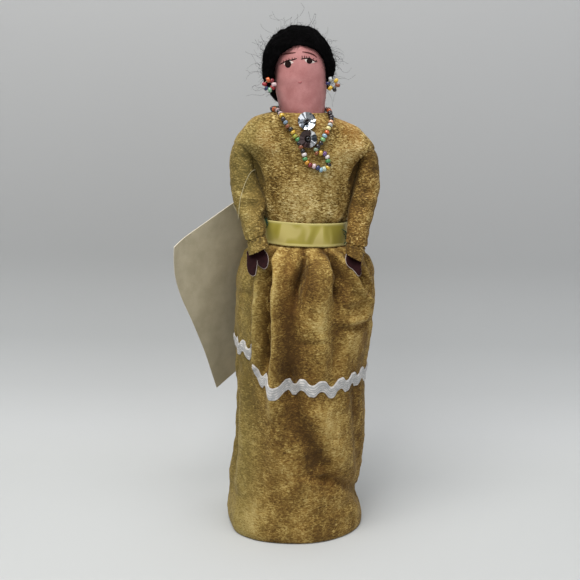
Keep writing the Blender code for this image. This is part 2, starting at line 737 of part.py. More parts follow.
def make_trim(skirt):
    """Lay the rickrack band on the skirt's own surface, one wave after another."""
    tree = surface_tree(skirt)
    count = TRIM_WAVES * TRIM_POINTS_PER_WAVE
    reach = 2 * SKIRT_HALF_WIDTH
    rows = []
    for index in range(count):
        turn = index / count
        wave = TRIM_WAVE_HEIGHT * math.sin(math.tau * index / TRIM_POINTS_PER_WAVE)
        rise = TRIM_SIDE_RISE * math.exp(-((turn - TRIM_SIDE_TURN_SHARE) / TRIM_SIDE_SPREAD_SHARE) ** 2)
        outward = Vector((math.sin(math.tau * turn), -math.cos(math.tau * turn), 0))
        corners = []
        for edge, lift in ((-1, 0), (-1, TRIM_WALL), (1, TRIM_WALL), (1, 0)):
            level = TRIM_LEVEL + rise + wave + edge * TRIM_BAND / 2
            start = outward * reach + Vector((0, 0, level))
            hit, _, _, _ = tree.ray_cast(start, -outward)
            seat = pushed_clear(hit + outward * TRIM_SEAT, [tree], TRIM_SEAT)
            corners.append(seat + outward * lift)
        rows.append(corners)
    band = bmesh.new()
    placed = [[band.verts.new(point) for point in corners] for corners in rows]
    for here, ahead in zip(placed, placed[1:] + placed[:1]):
        for side, corner in enumerate(here):
            following = (side + 1) % len(here)
            band.faces.new((corner, ahead[side], ahead[following], here[following]))
    bmesh.ops.recalc_face_normals(band, faces=band.faces)
    bmesh.ops.triangulate(band, faces=band.faces)
    mesh = bpy.data.meshes.new("rickrack_trim")
    band.to_mesh(mesh)
    band.free()
    return dress(link_object("rickrack_trim", mesh), material("cotton_rickrack", TRIM_CREAM, 0.9))


def place_head(piece):
    """Set a turned head form on the neck's axis."""
    piece.data.transform(Matrix.Translation((HEAD_SHIFT, 0, 0)))
    return piece


def make_head():
    """Turn the stuffed head and neck."""
    head = place_head(turned("head", head_outline(0.0), HEAD_STEPS, HEAD_HALF_DEPTH / HEAD_HALF_WIDTH))
    return dress(head, material("stuffed_cotton", CLOTH_PINK, 0.8))


def head_cutter(name, growth):
    """Turn a form a little larger than the head, to cut what fits round it."""
    ratio = HEAD_HALF_DEPTH / HEAD_HALF_WIDTH
    return place_head(turned(name, head_outline(growth), HEAD_STEPS, ratio, CUTTERS))


def hair_centre():
    """Centre of the hair cap's oval."""
    return Vector((HAIR_SHIFT, HAIR_BACK_SHIFT, HAIR_TOP - HAIR_HALF_HEIGHT))


def make_hair_cap(head_form):
    """Shape the wool cap, hollow for the head and open in an arch for the face."""
    radii = (HAIR_HALF_WIDTH, HAIR_HALF_DEPTH, HAIR_HALF_HEIGHT)
    cap = oval_ball("hair_cap", hair_centre(), radii, HAIR_SEGMENTS, PARTS)
    arch_centre = HAIRLINE_TOP - HEAD_HALF_WIDTH
    bottom = HAIR_TOP - 2 * HAIR_HALF_HEIGHT - CUT_OVERRUN
    face_opening = [(-HEAD_HALF_WIDTH, bottom), (HEAD_HALF_WIDTH, bottom)]
    for step in range(HAIRLINE_STEPS + 1):
        angle = math.pi * step / HAIRLINE_STEPS
        face_opening.append((HEAD_HALF_WIDTH * math.cos(angle),
                             arch_centre + HEAD_HALF_WIDTH * math.sin(angle)))
    depth = HAIR_HALF_DEPTH + CUT_OVERRUN
    arch = extruded("face_opening", face_opening, depth, collection=CUTTERS)
    arch.data.transform(Matrix.Rotation(math.radians(90.0), 4, "X"))
    arch.location = (HEAD_SHIFT, -depth / 2, 0)
    low = hair_centre() - Vector((2 * HAIR_HALF_WIDTH, 2 * HAIR_HALF_DEPTH, 2 * HAIR_HALF_HEIGHT))
    high = hair_centre() + Vector((2 * HAIR_HALF_WIDTH, 2 * HAIR_HALF_DEPTH, 0))
    high.z = HAIR_END
    for cutter in (head_form, arch, box_cutter("hair_end", low, high)):
        cut_by(cap, cutter)
    return dress(cap, material("felted_wool", WOOL_BLACK, 0.95))


def make_hair_lock(head_form):
    """Shape the lock of hair at the nape, below and behind the cap."""
    place = Vector((LOCK_SHIFT, HAIR_HALF_DEPTH, LOCK_LEVEL))
    radii = (LOCK_HALF_WIDTH, LOCK_HALF_DEPTH, LOCK_HALF_HEIGHT)
    lock = oval_ball("hair_lock", place, radii, LOCK_SEGMENTS, PARTS)
    grown = (HAIR_HALF_WIDTH + GAP, HAIR_HALF_DEPTH + GAP, HAIR_HALF_HEIGHT + GAP)
    cut_by(lock, head_form)
    cut_by(lock, oval_ball("hair_cap_room", hair_centre(), grown, HAIR_SEGMENTS, CUTTERS))
    return dress(lock, material("felted_wool", WOOL_BLACK, 0.95))


def make_arm(side, word):
    """Build one arm: its sleeve, its stuffing and the hand in its cuff, on the shoulder's axis."""
    shoulder = pivot(f"shoulder_{word}_axis", shoulder_point(side))
    ovals = sleeve_ovals(side)
    turns = even_turns(SLEEVE_COLUMNS)
    sleeve = with_wall(lofted(f"sleeve_{word}", [oval_ring(oval, turns) for oval in ovals]), VELVET_WALL)
    dress(sleeve, velvet(), shoulder)
    filled = [oval for oval in ovals if oval.centre[2] > ovals[0].centre[2] + HAND_TAB]
    dress(core(f"arm_stuffing_{word}", [oval_ring(oval, turns) for oval in filled]), stuffing(), shoulder)
    make_hand(side, word, ovals[0], shoulder)
    return shoulder


def make_hand(side, word, cuff, shoulder):
    """Cut the flat hand and set its tab into the cuff, on the wrist's axis."""
    tab_half = cuff.half_width - CORE_INSET - GAP
    outline = [(across * 2 * tab_half, -down * HAND_LENGTH) for across, down in HAND_OUTLINE_SHARES]
    outline.append((tab_half * HAND_TAB_TOP_SHARE, HAND_TAB))
    outline.append((-tab_half * HAND_TAB_TOP_SHARE, HAND_TAB))
    hand = extruded(f"hand_{word}", outline, HAND_THICKNESS)
    if side > 0:
        hand.data.transform(Matrix.Diagonal((-1.0, 1.0, 1.0, 1.0)))
        hand.data.flip_normals()
    stand = Matrix.Rotation(math.radians(90.0), 4, "X")
    lean = Matrix.Rotation(-HAND_LEAN, 4, "X")
    wrist = pivot(f"wrist_{word}_axis", Vector(cuff.centre), shoulder, Matrix.Rotation(cuff.tilt, 4, "Y"))
    hand.data.transform(wrist.matrix_world @ lean @ stand)
    return dress(hand, material("leatherette", LEATHERETTE_BROWN, 0.6), wrist)


def bead_outline(radius, bore, length):
    """Return a seed bead's closed section: a short ring with rounded shoulders."""
    shoulder = length / 4
    flat = between(bore, radius, BEAD_END_SHARE)
    return [(flat, length / 2), (radius, shoulder), (radius, -shoulder), (flat, -length / 2),
            (bore, -length / 2), (bore, length / 2)]


def make_earring(side, word, order, hair_trees):
    """Thread one ring of seed beads and hang it in front of the hair beside the face."""
    middle_x = HEAD_SHIFT + side * EARRING_SIDE_SPREAD
    reach = 2 * HAIR_HALF_WIDTH
    fronts = []
    for share in even_turns(THREAD_RING_STEPS):
        turn = math.tau * share
        for radius in (EARRING_RADIUS - SMALL_BEAD_RADIUS, EARRING_RADIUS + SMALL_BEAD_RADIUS):
            start = Vector((middle_x + radius * math.sin(turn), -reach,
                            EARRING_LEVEL + radius * math.cos(turn)))
            for tree in hair_trees:
                hit, _, _, _ = tree.ray_cast(start, Vector((0, 1, 0)))
                if hit is not None and hit.y < 0:
                    fronts.append(hit.y)
    plane = min(fronts) - GAP - SMALL_BEAD_RADIUS
    hook = pivot(f"earring_{word}_axis", Vector((middle_x, plane, EARRING_LEVEL + EARRING_RADIUS)))
    bpy.ops.mesh.primitive_torus_add(major_segments=THREAD_RING_STEPS, minor_segments=THREAD_SIDES,
                                     major_radius=EARRING_RADIUS, minor_radius=EARRING_THREAD_RADIUS)
    thread = bpy.context.active_object
    thread.name = f"earring_thread_{word}"
    for holder in list(thread.users_collection):
        holder.objects.unlink(thread)
    collection_named(PARTS).objects.link(thread)
    upright = Matrix.Rotation(math.radians(90.0), 4, "X")
    thread.data.transform(Matrix.Translation((middle_x, plane, EARRING_LEVEL)) @ upright)
    dress(thread, material("sewing_thread", THREAD_PALE, 0.8), hook)
    bore = EARRING_THREAD_RADIUS + GAP
    section = bead_outline(SMALL_BEAD_RADIUS, bore, SMALL_BEAD_LENGTH)
    for index, colour in enumerate(order):
        angle = math.tau * index / len(order)
        bead = turned(f"earring_{word}_bead_{index + 1}", section, BEAD_STEPS, closed=True)
        lay = Matrix.Rotation(math.radians(90.0) + angle, 4, "Y")
        centre = Vector((middle_x + EARRING_RADIUS * math.sin(angle), plane,
                         EARRING_LEVEL + EARRING_RADIUS * math.cos(angle)))
        bead.data.transform(Matrix.Translation(centre) @ lay)
        dress(bead, material("glass_bead_" + colour, BEAD_COLOURS[colour], 0.2), hook)


def make_sequin(word, level, bodice_tree):
    """Set a cup sequin flat on the chest, with the dark bead that holds it."""
    start = Vector((SEQUIN_SIDE, -2 * SHOULDER_HALF_WIDTH, level))
    hit, normal, _, _ = bodice_tree.ray_cast(start, Vector((0, 1, 0)))
    upright = Vector((0, normal.y, normal.z)).normalized()
    frame = Matrix.Translation(hit + upright * GAP) @ upright.to_track_quat("Z", "Y").to_matrix().to_4x4()
    floor_radius = between(SEQUIN_HOLE_RADIUS, SEQUIN_RADIUS, SEQUIN_FLOOR_SHARE)
    outline = [(floor_radius, SEQUIN_WALL), (SEQUIN_RADIUS, SEQUIN_CUP_DEPTH + SEQUIN_WALL),
               (SEQUIN_RADIUS, SEQUIN_CUP_DEPTH), (floor_radius, 0), (SEQUIN_HOLE_RADIUS, 0),
               (SEQUIN_HOLE_RADIUS, SEQUIN_WALL)]
    sequin = turned(f"sequin_{word}", outline, SEQUIN_FACETS, closed=True)
    sequin.data.transform(frame)
    dress(sequin, material("silvered_film", SEQUIN_SILVER, 0.15, 0.9))
    bead_lift = SEQUIN_WALL + GAP + SMALL_BEAD_LENGTH / 2
    section = bead_outline(SMALL_BEAD_RADIUS, EARRING_THREAD_RADIUS + GAP, SMALL_BEAD_LENGTH)
    bead = turned(f"sequin_bead_{word}", section, BEAD_STEPS, closed=True)
    bead.data.transform(frame @ Matrix.Translation((0, 0, bead_lift)))
    dress(bead, material("black_glass", BEAD_BLACK, 0.2))
    return sequin, bead


def smooth_loop(points, fineness):
    """Return points on a smooth closed curve through the given ones."""
    curve = []
    count = len(points)
    for index in range(count):
        before, start, end, after = (points[(index + step) % count] for step in (-1, 0, 1, 2))
        for step in range(fineness):
            t = step / fineness
            curve.append(0.5 * (2 * start + (end - before) * t
                                + (2 * before - 5 * start + 4 * end - after) * t ** 2
                                + (3 * start - before - 3 * end + after) * t ** 3))
    return curve


def spaced(loop, count):
    """Return count points at equal steps along a closed loop."""
    lengths = [0.0]
    for here, ahead in zip(loop, loop[1:] + loop[:1]):
        lengths.append(lengths[-1] + (ahead - here).length)
    places = []
    segment = 0
    for index in range(count):
        goal = lengths[-1] * index / count
        while lengths[segment + 1] < goal:
            segment += 1
        share = (goal - lengths[segment]) / (lengths[segment + 1] - lengths[segment])
        places.append(loop[segment].lerp(loop[(segment + 1) % len(loop)], share))
    return places


def loop_length(loop):
    """Return the length of a closed loop."""
    return sum((ahead - here).length for here, ahead in zip(loop, loop[1:] + loop[:1]))


def pushed_clear(point, trees, distance):
    """Move a point outwards until it is at least a distance from every surface."""
    for _ in range(PUSH_PASSES):
        for tree in trees:
            near, normal, _, found = tree.find_nearest(point)
            away = point - near
            if found < distance or away.dot(normal) < 0:
                direction = away.normalized() if away.dot(normal) > 0 else normal
                point = near + direction * distance
    return point


def necklace_loop(trees):
    """Return bead centres of the strand: down over the chest, round its loop and behind the neck."""
    distance = NECKLACE_BEAD_RADIUS + GAP
    reach = 2 * SHOULDER_HALF_WIDTH
    points = []
    for side, drop in NECKLACE_ROUTE_SHARES:
        start = Vector((HEAD_SHIFT + NECKLACE_SPREAD * side, -reach, COLLAR_LEVEL - NECKLACE_DROP * drop))
        hit, normal, _, _ = trees[0].ray_cast(start, Vector((0, 1, 0)))
        points.append(hit + normal * distance)
    for turn in NECK_ARC_TURNS:
        points.append(Vector((HEAD_SHIFT + (neck_half_width() + distance + GAP) * math.sin(math.tau * turn),
                              -(neck_half_depth() + distance + GAP) * math.cos(math.tau * turn),
                              COLLAR_LEVEL + distance)))
    for _ in range(NECKLACE_PASSES):
        loop = smooth_loop(points, NECKLACE_FINENESS)
        beads = round(loop_length(loop) / NECKLACE_BEAD_PITCH)
        points = [pushed_clear(point, trees, distance + GAP) for point in spaced(loop, beads)]
    return points


def make_necklace(trees):
    """String the necklace: beads along the loop, joined by the thread they share."""
    centres = necklace_loop(trees)
    nape = pivot("necklace_axis", Vector((HEAD_SHIFT, necklace_back(), COLLAR_LEVEL + NECKLACE_BEAD_RADIUS)))
    half = NECKLACE_BEAD_LENGTH / 2
    stations = ((-half, NECKLACE_THREAD_RADIUS), (-half / 2, NECKLACE_BEAD_RADIUS),
                (half / 2, NECKLACE_BEAD_RADIUS))
    rings = []
    side = Vector((0, -1, 0))
    for index, centre in enumerate(centres):
        tangent = (centres[(index + 1) % len(centres)] - centres[index - 1]).normalized()
        side = (side - tangent * side.dot(tangent)).normalized()
        up = tangent.cross(side)
        for way, radius in stations:
            ring = []
            for step in range(NECKLACE_SIDES):
                angle = math.tau * step / NECKLACE_SIDES
                spoke = side * math.cos(angle) + up * math.sin(angle)
                ring.append(centre + tangent * way + spoke * radius)
            rings.append(ring)
    strand = bmesh.new()
    rows = [[strand.verts.new(point) for point in ring] for ring in rings]
    first, last = rings[0], rings[-1]
    shift = min(range(NECKLACE_SIDES), key=lambda turn: (first[turn] - last[0]).length)
    for number, (here, ahead) in enumerate(zip(rows, rows[1:] + rows[:1])):
        offset = shift if number == len(rows) - 1 else 0
        for step in range(NECKLACE_SIDES):
            following = (step + 1) % NECKLACE_SIDES
            strand.faces.new((here[step], here[following], ahead[(following + offset) % NECKLACE_SIDES],
                              ahead[(step + offset) % NECKLACE_SIDES]))
    bmesh.ops.recalc_face_normals(strand, faces=strand.faces)
    mesh = bpy.data.meshes.new("necklace")
    strand.to_mesh(mesh)
    strand.free()
    finish = material("glass_bead_yellow", BEAD_COLOURS["yellow"], 0.2)
    return dress(link_object("necklace", mesh), finish, nape)


def necklace_back():
    """How far behind the neck's axis the strand passes."""
    return neck_half_depth() + NECKLACE_BEAD_RADIUS + 2 * GAP


def tag_axes():
    """Return the tag's hole centre and the directions along its top edge, down its side and off its face."""
    facing = Matrix.Rotation(TAG_FACING, 3, "Z") @ Matrix.Rotation(TAG_LEAN, 3, "X")
    across = facing @ Vector((math.cos(TAG_HANG), 0, math.sin(TAG_HANG)))
    down = facing @ Vector((math.sin(TAG_HANG), 0, -math.cos(TAG_HANG)))
    hole = Vector((-TAG_HOLE_SIDE, TAG_HOLE_BACK, TAG_HOLE_LEVEL))
    return hole, across, down, across.cross(down)


def make_tag(shoulder):
    """Cut the blank card tag and hang it on the axis of its hole."""
    hole, across, down, face = tag_axes()
    inset = TAG_HOLE_INSET
    outline = [(inset, inset), (inset - TAG_WIDTH, inset), (inset - TAG_WIDTH, inset - TAG_HEIGHT),
               (inset, inset - TAG_HEIGHT)]
    angles = [math.tau * turn for turn in even_turns(TAG_HOLE_STEPS)]
    ring = [(TAG_HOLE_RADIUS * math.cos(angle), TAG_HOLE_RADIUS * math.sin(angle)) for angle in angles]
    card = extruded("tag_card", outline, TAG_THICKNESS, holes=(ring,))
    frame = Matrix((across, -down, -face)).transposed().to_4x4()
    frame.translation = hole
    card.data.transform(frame)
    swing = pivot("tag_axis", hole, shoulder)
    return dress(card, material("tag_board", CARD_CREAM, 0.9), swing)


def sleeve_section(side, level):
    """Return a sleeve's oval at a level, read between its rings."""
    ovals = sleeve_ovals(side)
    for lower, upper in zip(ovals, ovals[1:]):
        if lower.centre[2] <= level <= upper.centre[2]:
            share = (level - lower.centre[2]) / (upper.centre[2] - lower.centre[2])
            centre = Vector(lower.centre).lerp(Vector(upper.centre), share)
            return Oval(centre, between(lower.half_width, upper.half_width, share),
                        between(lower.half_depth, upper.half_depth, share), 0.0)
    return ovals[-1]


def tag_thread_route(sleeve_tree):
    """Return the thread's route: through the hole, over the card's edge and round the sleeve."""
    hole, _, down, face = tag_axes()
    reach = face if face.dot(shoulder_point(-1) - hole) > 0 else -face
    stand_off = TAG_THICKNESS / 2 + TAG_THREAD_RADIUS + 2 * GAP
    over = hole - down * TAG_THREAD_OVER_EDGE
    behind = over.lerp(hole, TAG_THREAD_BACK_SHARE) - reach * stand_off
    route = [hole + reach * stand_off, hole - reach * stand_off, behind, over]
    distance = TAG_THREAD_RADIUS + 2 * GAP
    for turn, rise in TAG_THREAD_SHARES:
        oval = sleeve_section(-1, between(TAG_THREAD_LOW, CHEST_LEVEL, rise))
        point = oval_ring(oval, [turn], distance)[0]
        route.append(pushed_clear(point, [sleeve_tree], distance))
    return route


def make_tag_thread(shoulder, sleeve_tree):
    """Run the tag's thread round the sleeve as one closed loop."""
    loop = tag_thread_route(sleeve_tree)
    curve = bpy.data.curves.new("tag_thread", "CURVE")
    curve.dimensions = "3D"
    curve.bevel_depth = TAG_THREAD_RADIUS
    curve.bevel_resolution = 1
    spline = curve.splines.new("POLY")
    spline.points.add(len(loop) - 1)
    for point, place in zip(spline.points, loop):
        point.co = (*place, 1)
    spline.use_cyclic_u = True
    thread = bpy.data.objects.new("tag_thread_route", curve)
    collection_named(PARTS).objects.link(thread)
    bpy.context.view_layer.update()
    mesh = bpy.data.meshes.new_from_object(thread.evaluated_get(bpy.context.evaluated_depsgraph_get()))
    bpy.data.objects.remove(thread, do_unlink=True)
    return dress(link_object("tag_thread", mesh), material("sewing_thread", THREAD_PALE, 0.8), shoulder)


def build():
    """Build every piece of the doll."""
    clear_scene()
    collection_named(PARTS)
    collection_named(CUTTERS)
    seat = (SHOULDER_SEAT_RADIUS,) * 3
    sockets = [oval_ball(f"socket_{word}", shoulder_point(side), seat, SOCKET_SEGMENTS, CUTTERS)
               for side, word in ((-1, "right"), (1, "left"))]
    head_form = head_cutter("head_room", GAP)
    make_base()
    make_stuffed_body(head_form, sockets)
    bodice = make_bodice(sockets)
    skirt = make_skirt()
    make_belt()
    make_trim(skirt)
    head = make_head()
    cap = make_hair_cap(head_form)
    lock = make_hair_lock(head_form)
    hair_trees = [surface_tree(piece) for piece in (cap, lock, head)]
    make_earring(-1, "right", RIGHT_BEAD_ORDER, hair_trees)
    make_earring(1, "left", LEFT_BEAD_ORDER, hair_trees)
    bodice_tree = surface_tree(bodice)
    chest = [bodice_tree, surface_tree(head)]
    for word, level in (("upper", UPPER_SEQUIN_LEVEL), ("lower", LOWER_SEQUIN_LEVEL)):
        chest.extend(surface_tree(piece) for piece in make_sequin(word, level, bodice_tree))
    make_necklace(chest)
    make_arm(1, "left")
    shoulder = make_arm(-1, "right")
    make_tag(shoulder)
    make_tag_thread(shoulder, surface_tree(bpy.data.objects["sleeve_right"]))


build()
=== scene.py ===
"""A stuffed cloth doll in a gold crushed-velvet dress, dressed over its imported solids.

Every piece is built in metres in the frame's own axes: +Z is up, the doll faces -Y, and its own right arm is
on the -X side. Turns run from the front towards +X, as a share of a full turn.
"""

import logging
import math
from dataclasses import dataclass
from enum import Enum
from typing import Any, Callable, Optional, Sequence

import bmesh
import bpy
import numpy as np
from mathutils import Matrix, Vector, noise
from mathutils.bvhtree import BVHTree


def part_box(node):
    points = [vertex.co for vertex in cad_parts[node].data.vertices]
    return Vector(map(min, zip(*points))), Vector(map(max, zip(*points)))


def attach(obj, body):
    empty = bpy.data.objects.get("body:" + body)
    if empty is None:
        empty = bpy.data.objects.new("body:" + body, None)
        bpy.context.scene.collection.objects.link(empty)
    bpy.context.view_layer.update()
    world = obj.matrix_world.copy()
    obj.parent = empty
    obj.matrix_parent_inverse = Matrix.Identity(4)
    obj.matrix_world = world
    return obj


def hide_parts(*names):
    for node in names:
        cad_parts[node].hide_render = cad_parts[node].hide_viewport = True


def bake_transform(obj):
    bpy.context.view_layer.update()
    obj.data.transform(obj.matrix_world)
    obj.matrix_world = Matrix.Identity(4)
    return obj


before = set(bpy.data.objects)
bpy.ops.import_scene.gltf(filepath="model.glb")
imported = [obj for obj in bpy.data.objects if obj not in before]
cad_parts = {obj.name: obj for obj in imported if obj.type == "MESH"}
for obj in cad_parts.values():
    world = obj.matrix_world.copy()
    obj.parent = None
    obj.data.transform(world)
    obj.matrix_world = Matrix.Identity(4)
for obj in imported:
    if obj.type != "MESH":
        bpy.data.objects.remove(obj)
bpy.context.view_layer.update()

LOG = logging.getLogger("cloth_doll")
MM = 0.001
# Points of two pieces that meet within this are one
MERGE = 0.01 * MM
# Where a ray that looks for a surface from the front starts
IN_FRONT = -0.08

# Names of the values that meshes carry for their materials
PLACE = "cloth_place"
SHADE = "cloth_shade"
TINT = "bead_tint"

# Kinds of node that come up often
ALIGN = "FunctionNodeAlignRotationToVector"
ATTRIBUTE = "ShaderNodeAttribute"
BUMP = "ShaderNodeBump"
CIRCLE = "GeometryNodeCurvePrimitiveCircle"
MAPPING = "ShaderNodeMapping"
MATH = "ShaderNodeMath"
MIX = "ShaderNodeMix"
NOISE = "ShaderNodeTexNoise"
ON_POINTS = "GeometryNodeInstanceOnPoints"
RAMP = "ShaderNodeValToRGB"
RANDOM = "FunctionNodeRandomValue"
RANGE = "ShaderNodeMapRange"
TO_MESH = "GeometryNodeCurveToMesh"
VECTOR_MATH = "ShaderNodeVectorMath"

Material = bpy.types.Material
Node = bpy.types.Node
Object = bpy.types.Object
Socket = bpy.types.NodeSocket
Tree = bpy.types.NodeTree


class Side(Enum):
    """The doll's own right and left."""

    RIGHT = -1
    LEFT = 1

    @property
    def word(self) -> str:
        """The side's name in the frame's bodies and nodes."""
        return self.name.lower()


# Small helpers for colours, nodes and meshes


def linear(text: str) -> tuple[float, float, float, float]:
    """Turn an sRGB hex colour into linear values.

    Args:
        text: Six hex digits after a hash.

    Returns:
        Linear red, green, blue and a full alpha.
    """
    values = []
    for start in (1, 3, 5):
        value = int(text[start:start + 2], 16) / 255
        values.append(value / 12.92 if value <= 0.04045 else ((value + 0.055) / 1.055) ** 2.4)
    return (*values, 1.0)


def feed(tree: Tree, node: Node, inputs: dict) -> None:
    """Feed a node's inputs.

    Args:
        tree: The node tree.
        node: The node.
        inputs: By the input's name or number, a value, a socket, or a node whose first output is meant.
    """
    for key, value in inputs.items():
        source = value.outputs[0] if isinstance(value, Node) else value
        if isinstance(source, Socket):
            tree.links.new(source, node.inputs[key])
        else:
            node.inputs[key].default_value = source


def add_node(tree: Tree, kind: str, inputs: Optional[dict] = None, stops: Sequence = (), **settings: Any) -> Node:
    """Add one node with its settings, values and links.

    Args:
        tree: The node tree.
        kind: The node's type name.
        inputs: What feeds its inputs, as in feed.
        stops: Places and sRGB colours of a ramp's stops, where the node is a ramp.
        **settings: The node's own properties.

    Returns:
        The node.
    """
    node = tree.nodes.new(kind)
    for key, value in settings.items():
        setattr(node, key, value)
    for number, (place, colour) in enumerate(stops):
        ramp = node.color_ramp.elements
        element = ramp[0] if number == 0 else ramp[len(ramp) - 1] if number == len(stops) - 1 else ramp.new(place)
        element.position = place
        element.color = linear(colour)
    feed(tree, node, inputs or {})
    return node


def new_material(name: str) -> tuple[Material, Tree, Node]:
    """Start a material.

    Args:
        name: The material's name.

    Returns:
        The material, its tree and its Principled shader.
    """
    finish = bpy.data.materials.new(name)
    finish.use_nodes = True
    return finish, finish.node_tree, finish.node_tree.nodes["Principled BSDF"]


def object_of(name: str, data: Any) -> Object:
    """Link a mesh, a curve, a light or a camera into the scene.

    Args:
        name: The object's name.
        data: What it shows.

    Returns:
        The object, at the origin.
    """
    piece = bpy.data.objects.new(name, data)
    bpy.context.scene.collection.objects.link(piece)
    return piece


def mesh_of(name: str, surface: bmesh.types.BMesh) -> Object:
    """Put an edited surface into an object of its own and free it.

    Args:
        name: The object's name.
        surface: The surface.

    Returns:
        The object.
    """
    mesh = bpy.data.meshes.new(name)
    surface.to_mesh(mesh)
    surface.free()
    return object_of(name, mesh)


def grid_piece(name: str, grid: Sequence, wrap_rows: bool = False) -> Object:
    """Skin a grid of points that closes on itself along each row.

    Args:
        name: The object's name.
        grid: Points as rows, columns and coordinates.
        wrap_rows: Join the last row to the first, in place of a cap at each end.

    Returns:
        A closed, smooth object with its faces outwards.
    """
    points = np.asarray(grid)
    rows, columns, _ = points.shape
    index = np.arange(rows * columns).reshape(rows, columns)
    lower = index if wrap_rows else index[:-1]
    upper = np.roll(index, -1, axis=0) if wrap_rows else index[1:]
    quads = np.stack((lower, np.roll(lower, -1, axis=1), np.roll(upper, -1, axis=1), upper), axis=-1)
    faces = quads.reshape(-1, 4).tolist()
    if not wrap_rows:
        faces.append(index[0][::-1].tolist())
        faces.append(index[-1].tolist())
    mesh = bpy.data.meshes.new(name)
    mesh.from_pydata(points.reshape(-1, 3).tolist(), [], faces)
    surface = bmesh.new()
    surface.from_mesh(mesh)
    bmesh.ops.recalc_face_normals(surface, faces=surface.faces)
    surface.to_mesh(mesh)
    surface.free()
    mesh.shade_smooth()
    return object_of(name, mesh)


def plain_mesh(piece: Object) -> Object:
    """Keep an object's evaluated form as a plain mesh.

    Args:
        piece: A mesh, which loses its modifiers, or a curve, which a new object takes the place of.

    Returns:
        The object with the plain mesh.
    """
    bpy.context.view_layer.update()
    evaluated = piece.evaluated_get(bpy.context.evaluated_depsgraph_get())
    mesh = bpy.data.meshes.new_from_object(evaluated)
    if piece.type == "MESH":
        piece.modifiers.clear()
        piece.data = mesh
        return piece
    name = piece.name
    bpy.data.objects.remove(piece, do_unlink=True)
    return object_of(name, mesh)


def surface_of(piece: Object) -> BVHTree:
    """Return a search tree over the surface of a piece that sits at the origin.

    Args:
        piece: The object.

    Returns:
        The tree.
    """
    mesh = piece.data
    return BVHTree.FromPolygons([vertex.co.copy() for vertex in mesh.vertices],
                                [list(face.vertices) for face in mesh.polygons])


def crumple(piece: Object, amount: float, size: float, seed: float,
            mask: Optional[Callable[[Vector], float]] = None) -> None:
    """Push a mesh's vertices along their normals by a soft noise.

    Args:
        piece: The object.
        amount: The greatest push, in millimetres.
        size: The size of the lumps, in millimetres.
        seed: A shift of the noise.
        mask: A share of the push at a point.
    """
    mesh = piece.data
    shift = Vector((seed, seed * 1.7, seed * 2.3))
    normals = [normal.vector.copy() for normal in mesh.vertex_normals]
    for vertex, normal in zip(mesh.vertices, normals):
        push = noise.fractal(vertex.co / (size * MM) + shift, 0.9, 2.0, 3) * (amount * MM)
        vertex.co += normal * push * (mask(vertex.co) if mask else 1.0)


def mark(piece: Object, shades: Sequence) -> None:
    """Give each vertex the values that a cloth's material reads.

    Args:
        piece: The object.
        shades: One number for each vertex: painted shade, negative in a fold's valley, and painted light, positive on
            its ridge; on the ribbon it is the selvedge's share. Its rest place is kept beside it, for patterns that
            stay put as the cloth bends.
    """
    mesh = piece.data
    values = np.zeros(len(mesh.vertices) * 3, np.float32)
    mesh.vertices.foreach_get("co", values)
    mesh.attributes.new(PLACE, "FLOAT_VECTOR", "POINT").data.foreach_set("vector", values)
    layer = mesh.attributes.new(SHADE, "FLOAT", "POINT")
    layer.data.foreach_set("value", np.asarray(shades, np.float32).ravel())


def dress(piece: Object, finish: Material, body: Optional[str] = None,
          replaced: Sequence[str] = ()) -> Object:
    """Give a finished piece its material and the body it rides on, and hide the nodes it stands for.

    Args:
        piece: The object.
        finish: Its material.
        body: The body it rides on, or nothing, where it stays unattached.
        replaced: The nodes that it stands for.

    Returns:
        The object.
    """
    if not piece.data.materials:
        piece.data.materials.append(finish)
    if body is not None:
        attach(piece, body)
    if replaced:
        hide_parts(*replaced)
    LOG.info("%s: %d faces, rides %s", piece.name, len(piece.data.polygons), body or "a blend")
    return piece


def eased(share: float) -> float:
    """Ease a share from 0 to 1, held at both ends."""
    held = np.clip(share, 0.0, 1.0)
    return float(held * held * (3 - 2 * held))


def hills(table: Sequence, turns: np.ndarray, level: float) -> np.ndarray:
    """Add up soft hills and hollows round a cloth.

    Args:
        table: Height, turn and its spread, level and its spread of each.
        turns: Turns from the front.
        level: The level that is read, in the table's unit.

    Returns:
        One value for each turn.
    """
    total = np.zeros_like(turns)
    for height, turn, turn_spread, place, spread in table:
        away = (turns - turn + 0.5) % 1.0 - 0.5
        total += height * np.exp(-(away / turn_spread) ** 2 - ((level - place) / spread) ** 2)
    return total


def curve_through(table: Sequence[Sequence[float]], samples: Sequence[float]) -> np.ndarray:
    """Read a table on a smooth curve through its rows.

    Args:
        table: Rows whose first value rises and whose others are read.
        samples: Places along the first value.

    Returns:
        One row of values for each sample.
    """
    rows = np.asarray(table, float)
    places = rows[:, 0]
    values = rows[:, 1:]
    slopes = np.gradient(values, places, axis=0)
    flat = np.sign(np.diff(values, axis=0))
    for row in range(1, len(rows) - 1):
        slopes[row][flat[row - 1] * flat[row] <= 0] = 0.0
    found = []
    for sample in samples:
        held = min(max(sample, places[0]), places[-1])
        row = int(min(max(np.searchsorted(places, held, side="right") - 1, 0), len(rows) - 2))
        width = places[row + 1] - places[row]
        t = (held - places[row]) / width
        found.append((2 * t ** 3 - 3 * t ** 2 + 1) * values[row] + (t ** 3 - 2 * t ** 2 + t) * width * slopes[row]
                     + (3 * t ** 2 - 2 * t ** 3) * values[row + 1] + (t ** 3 - t ** 2) * width * slopes[row + 1])
    return np.asarray(found)


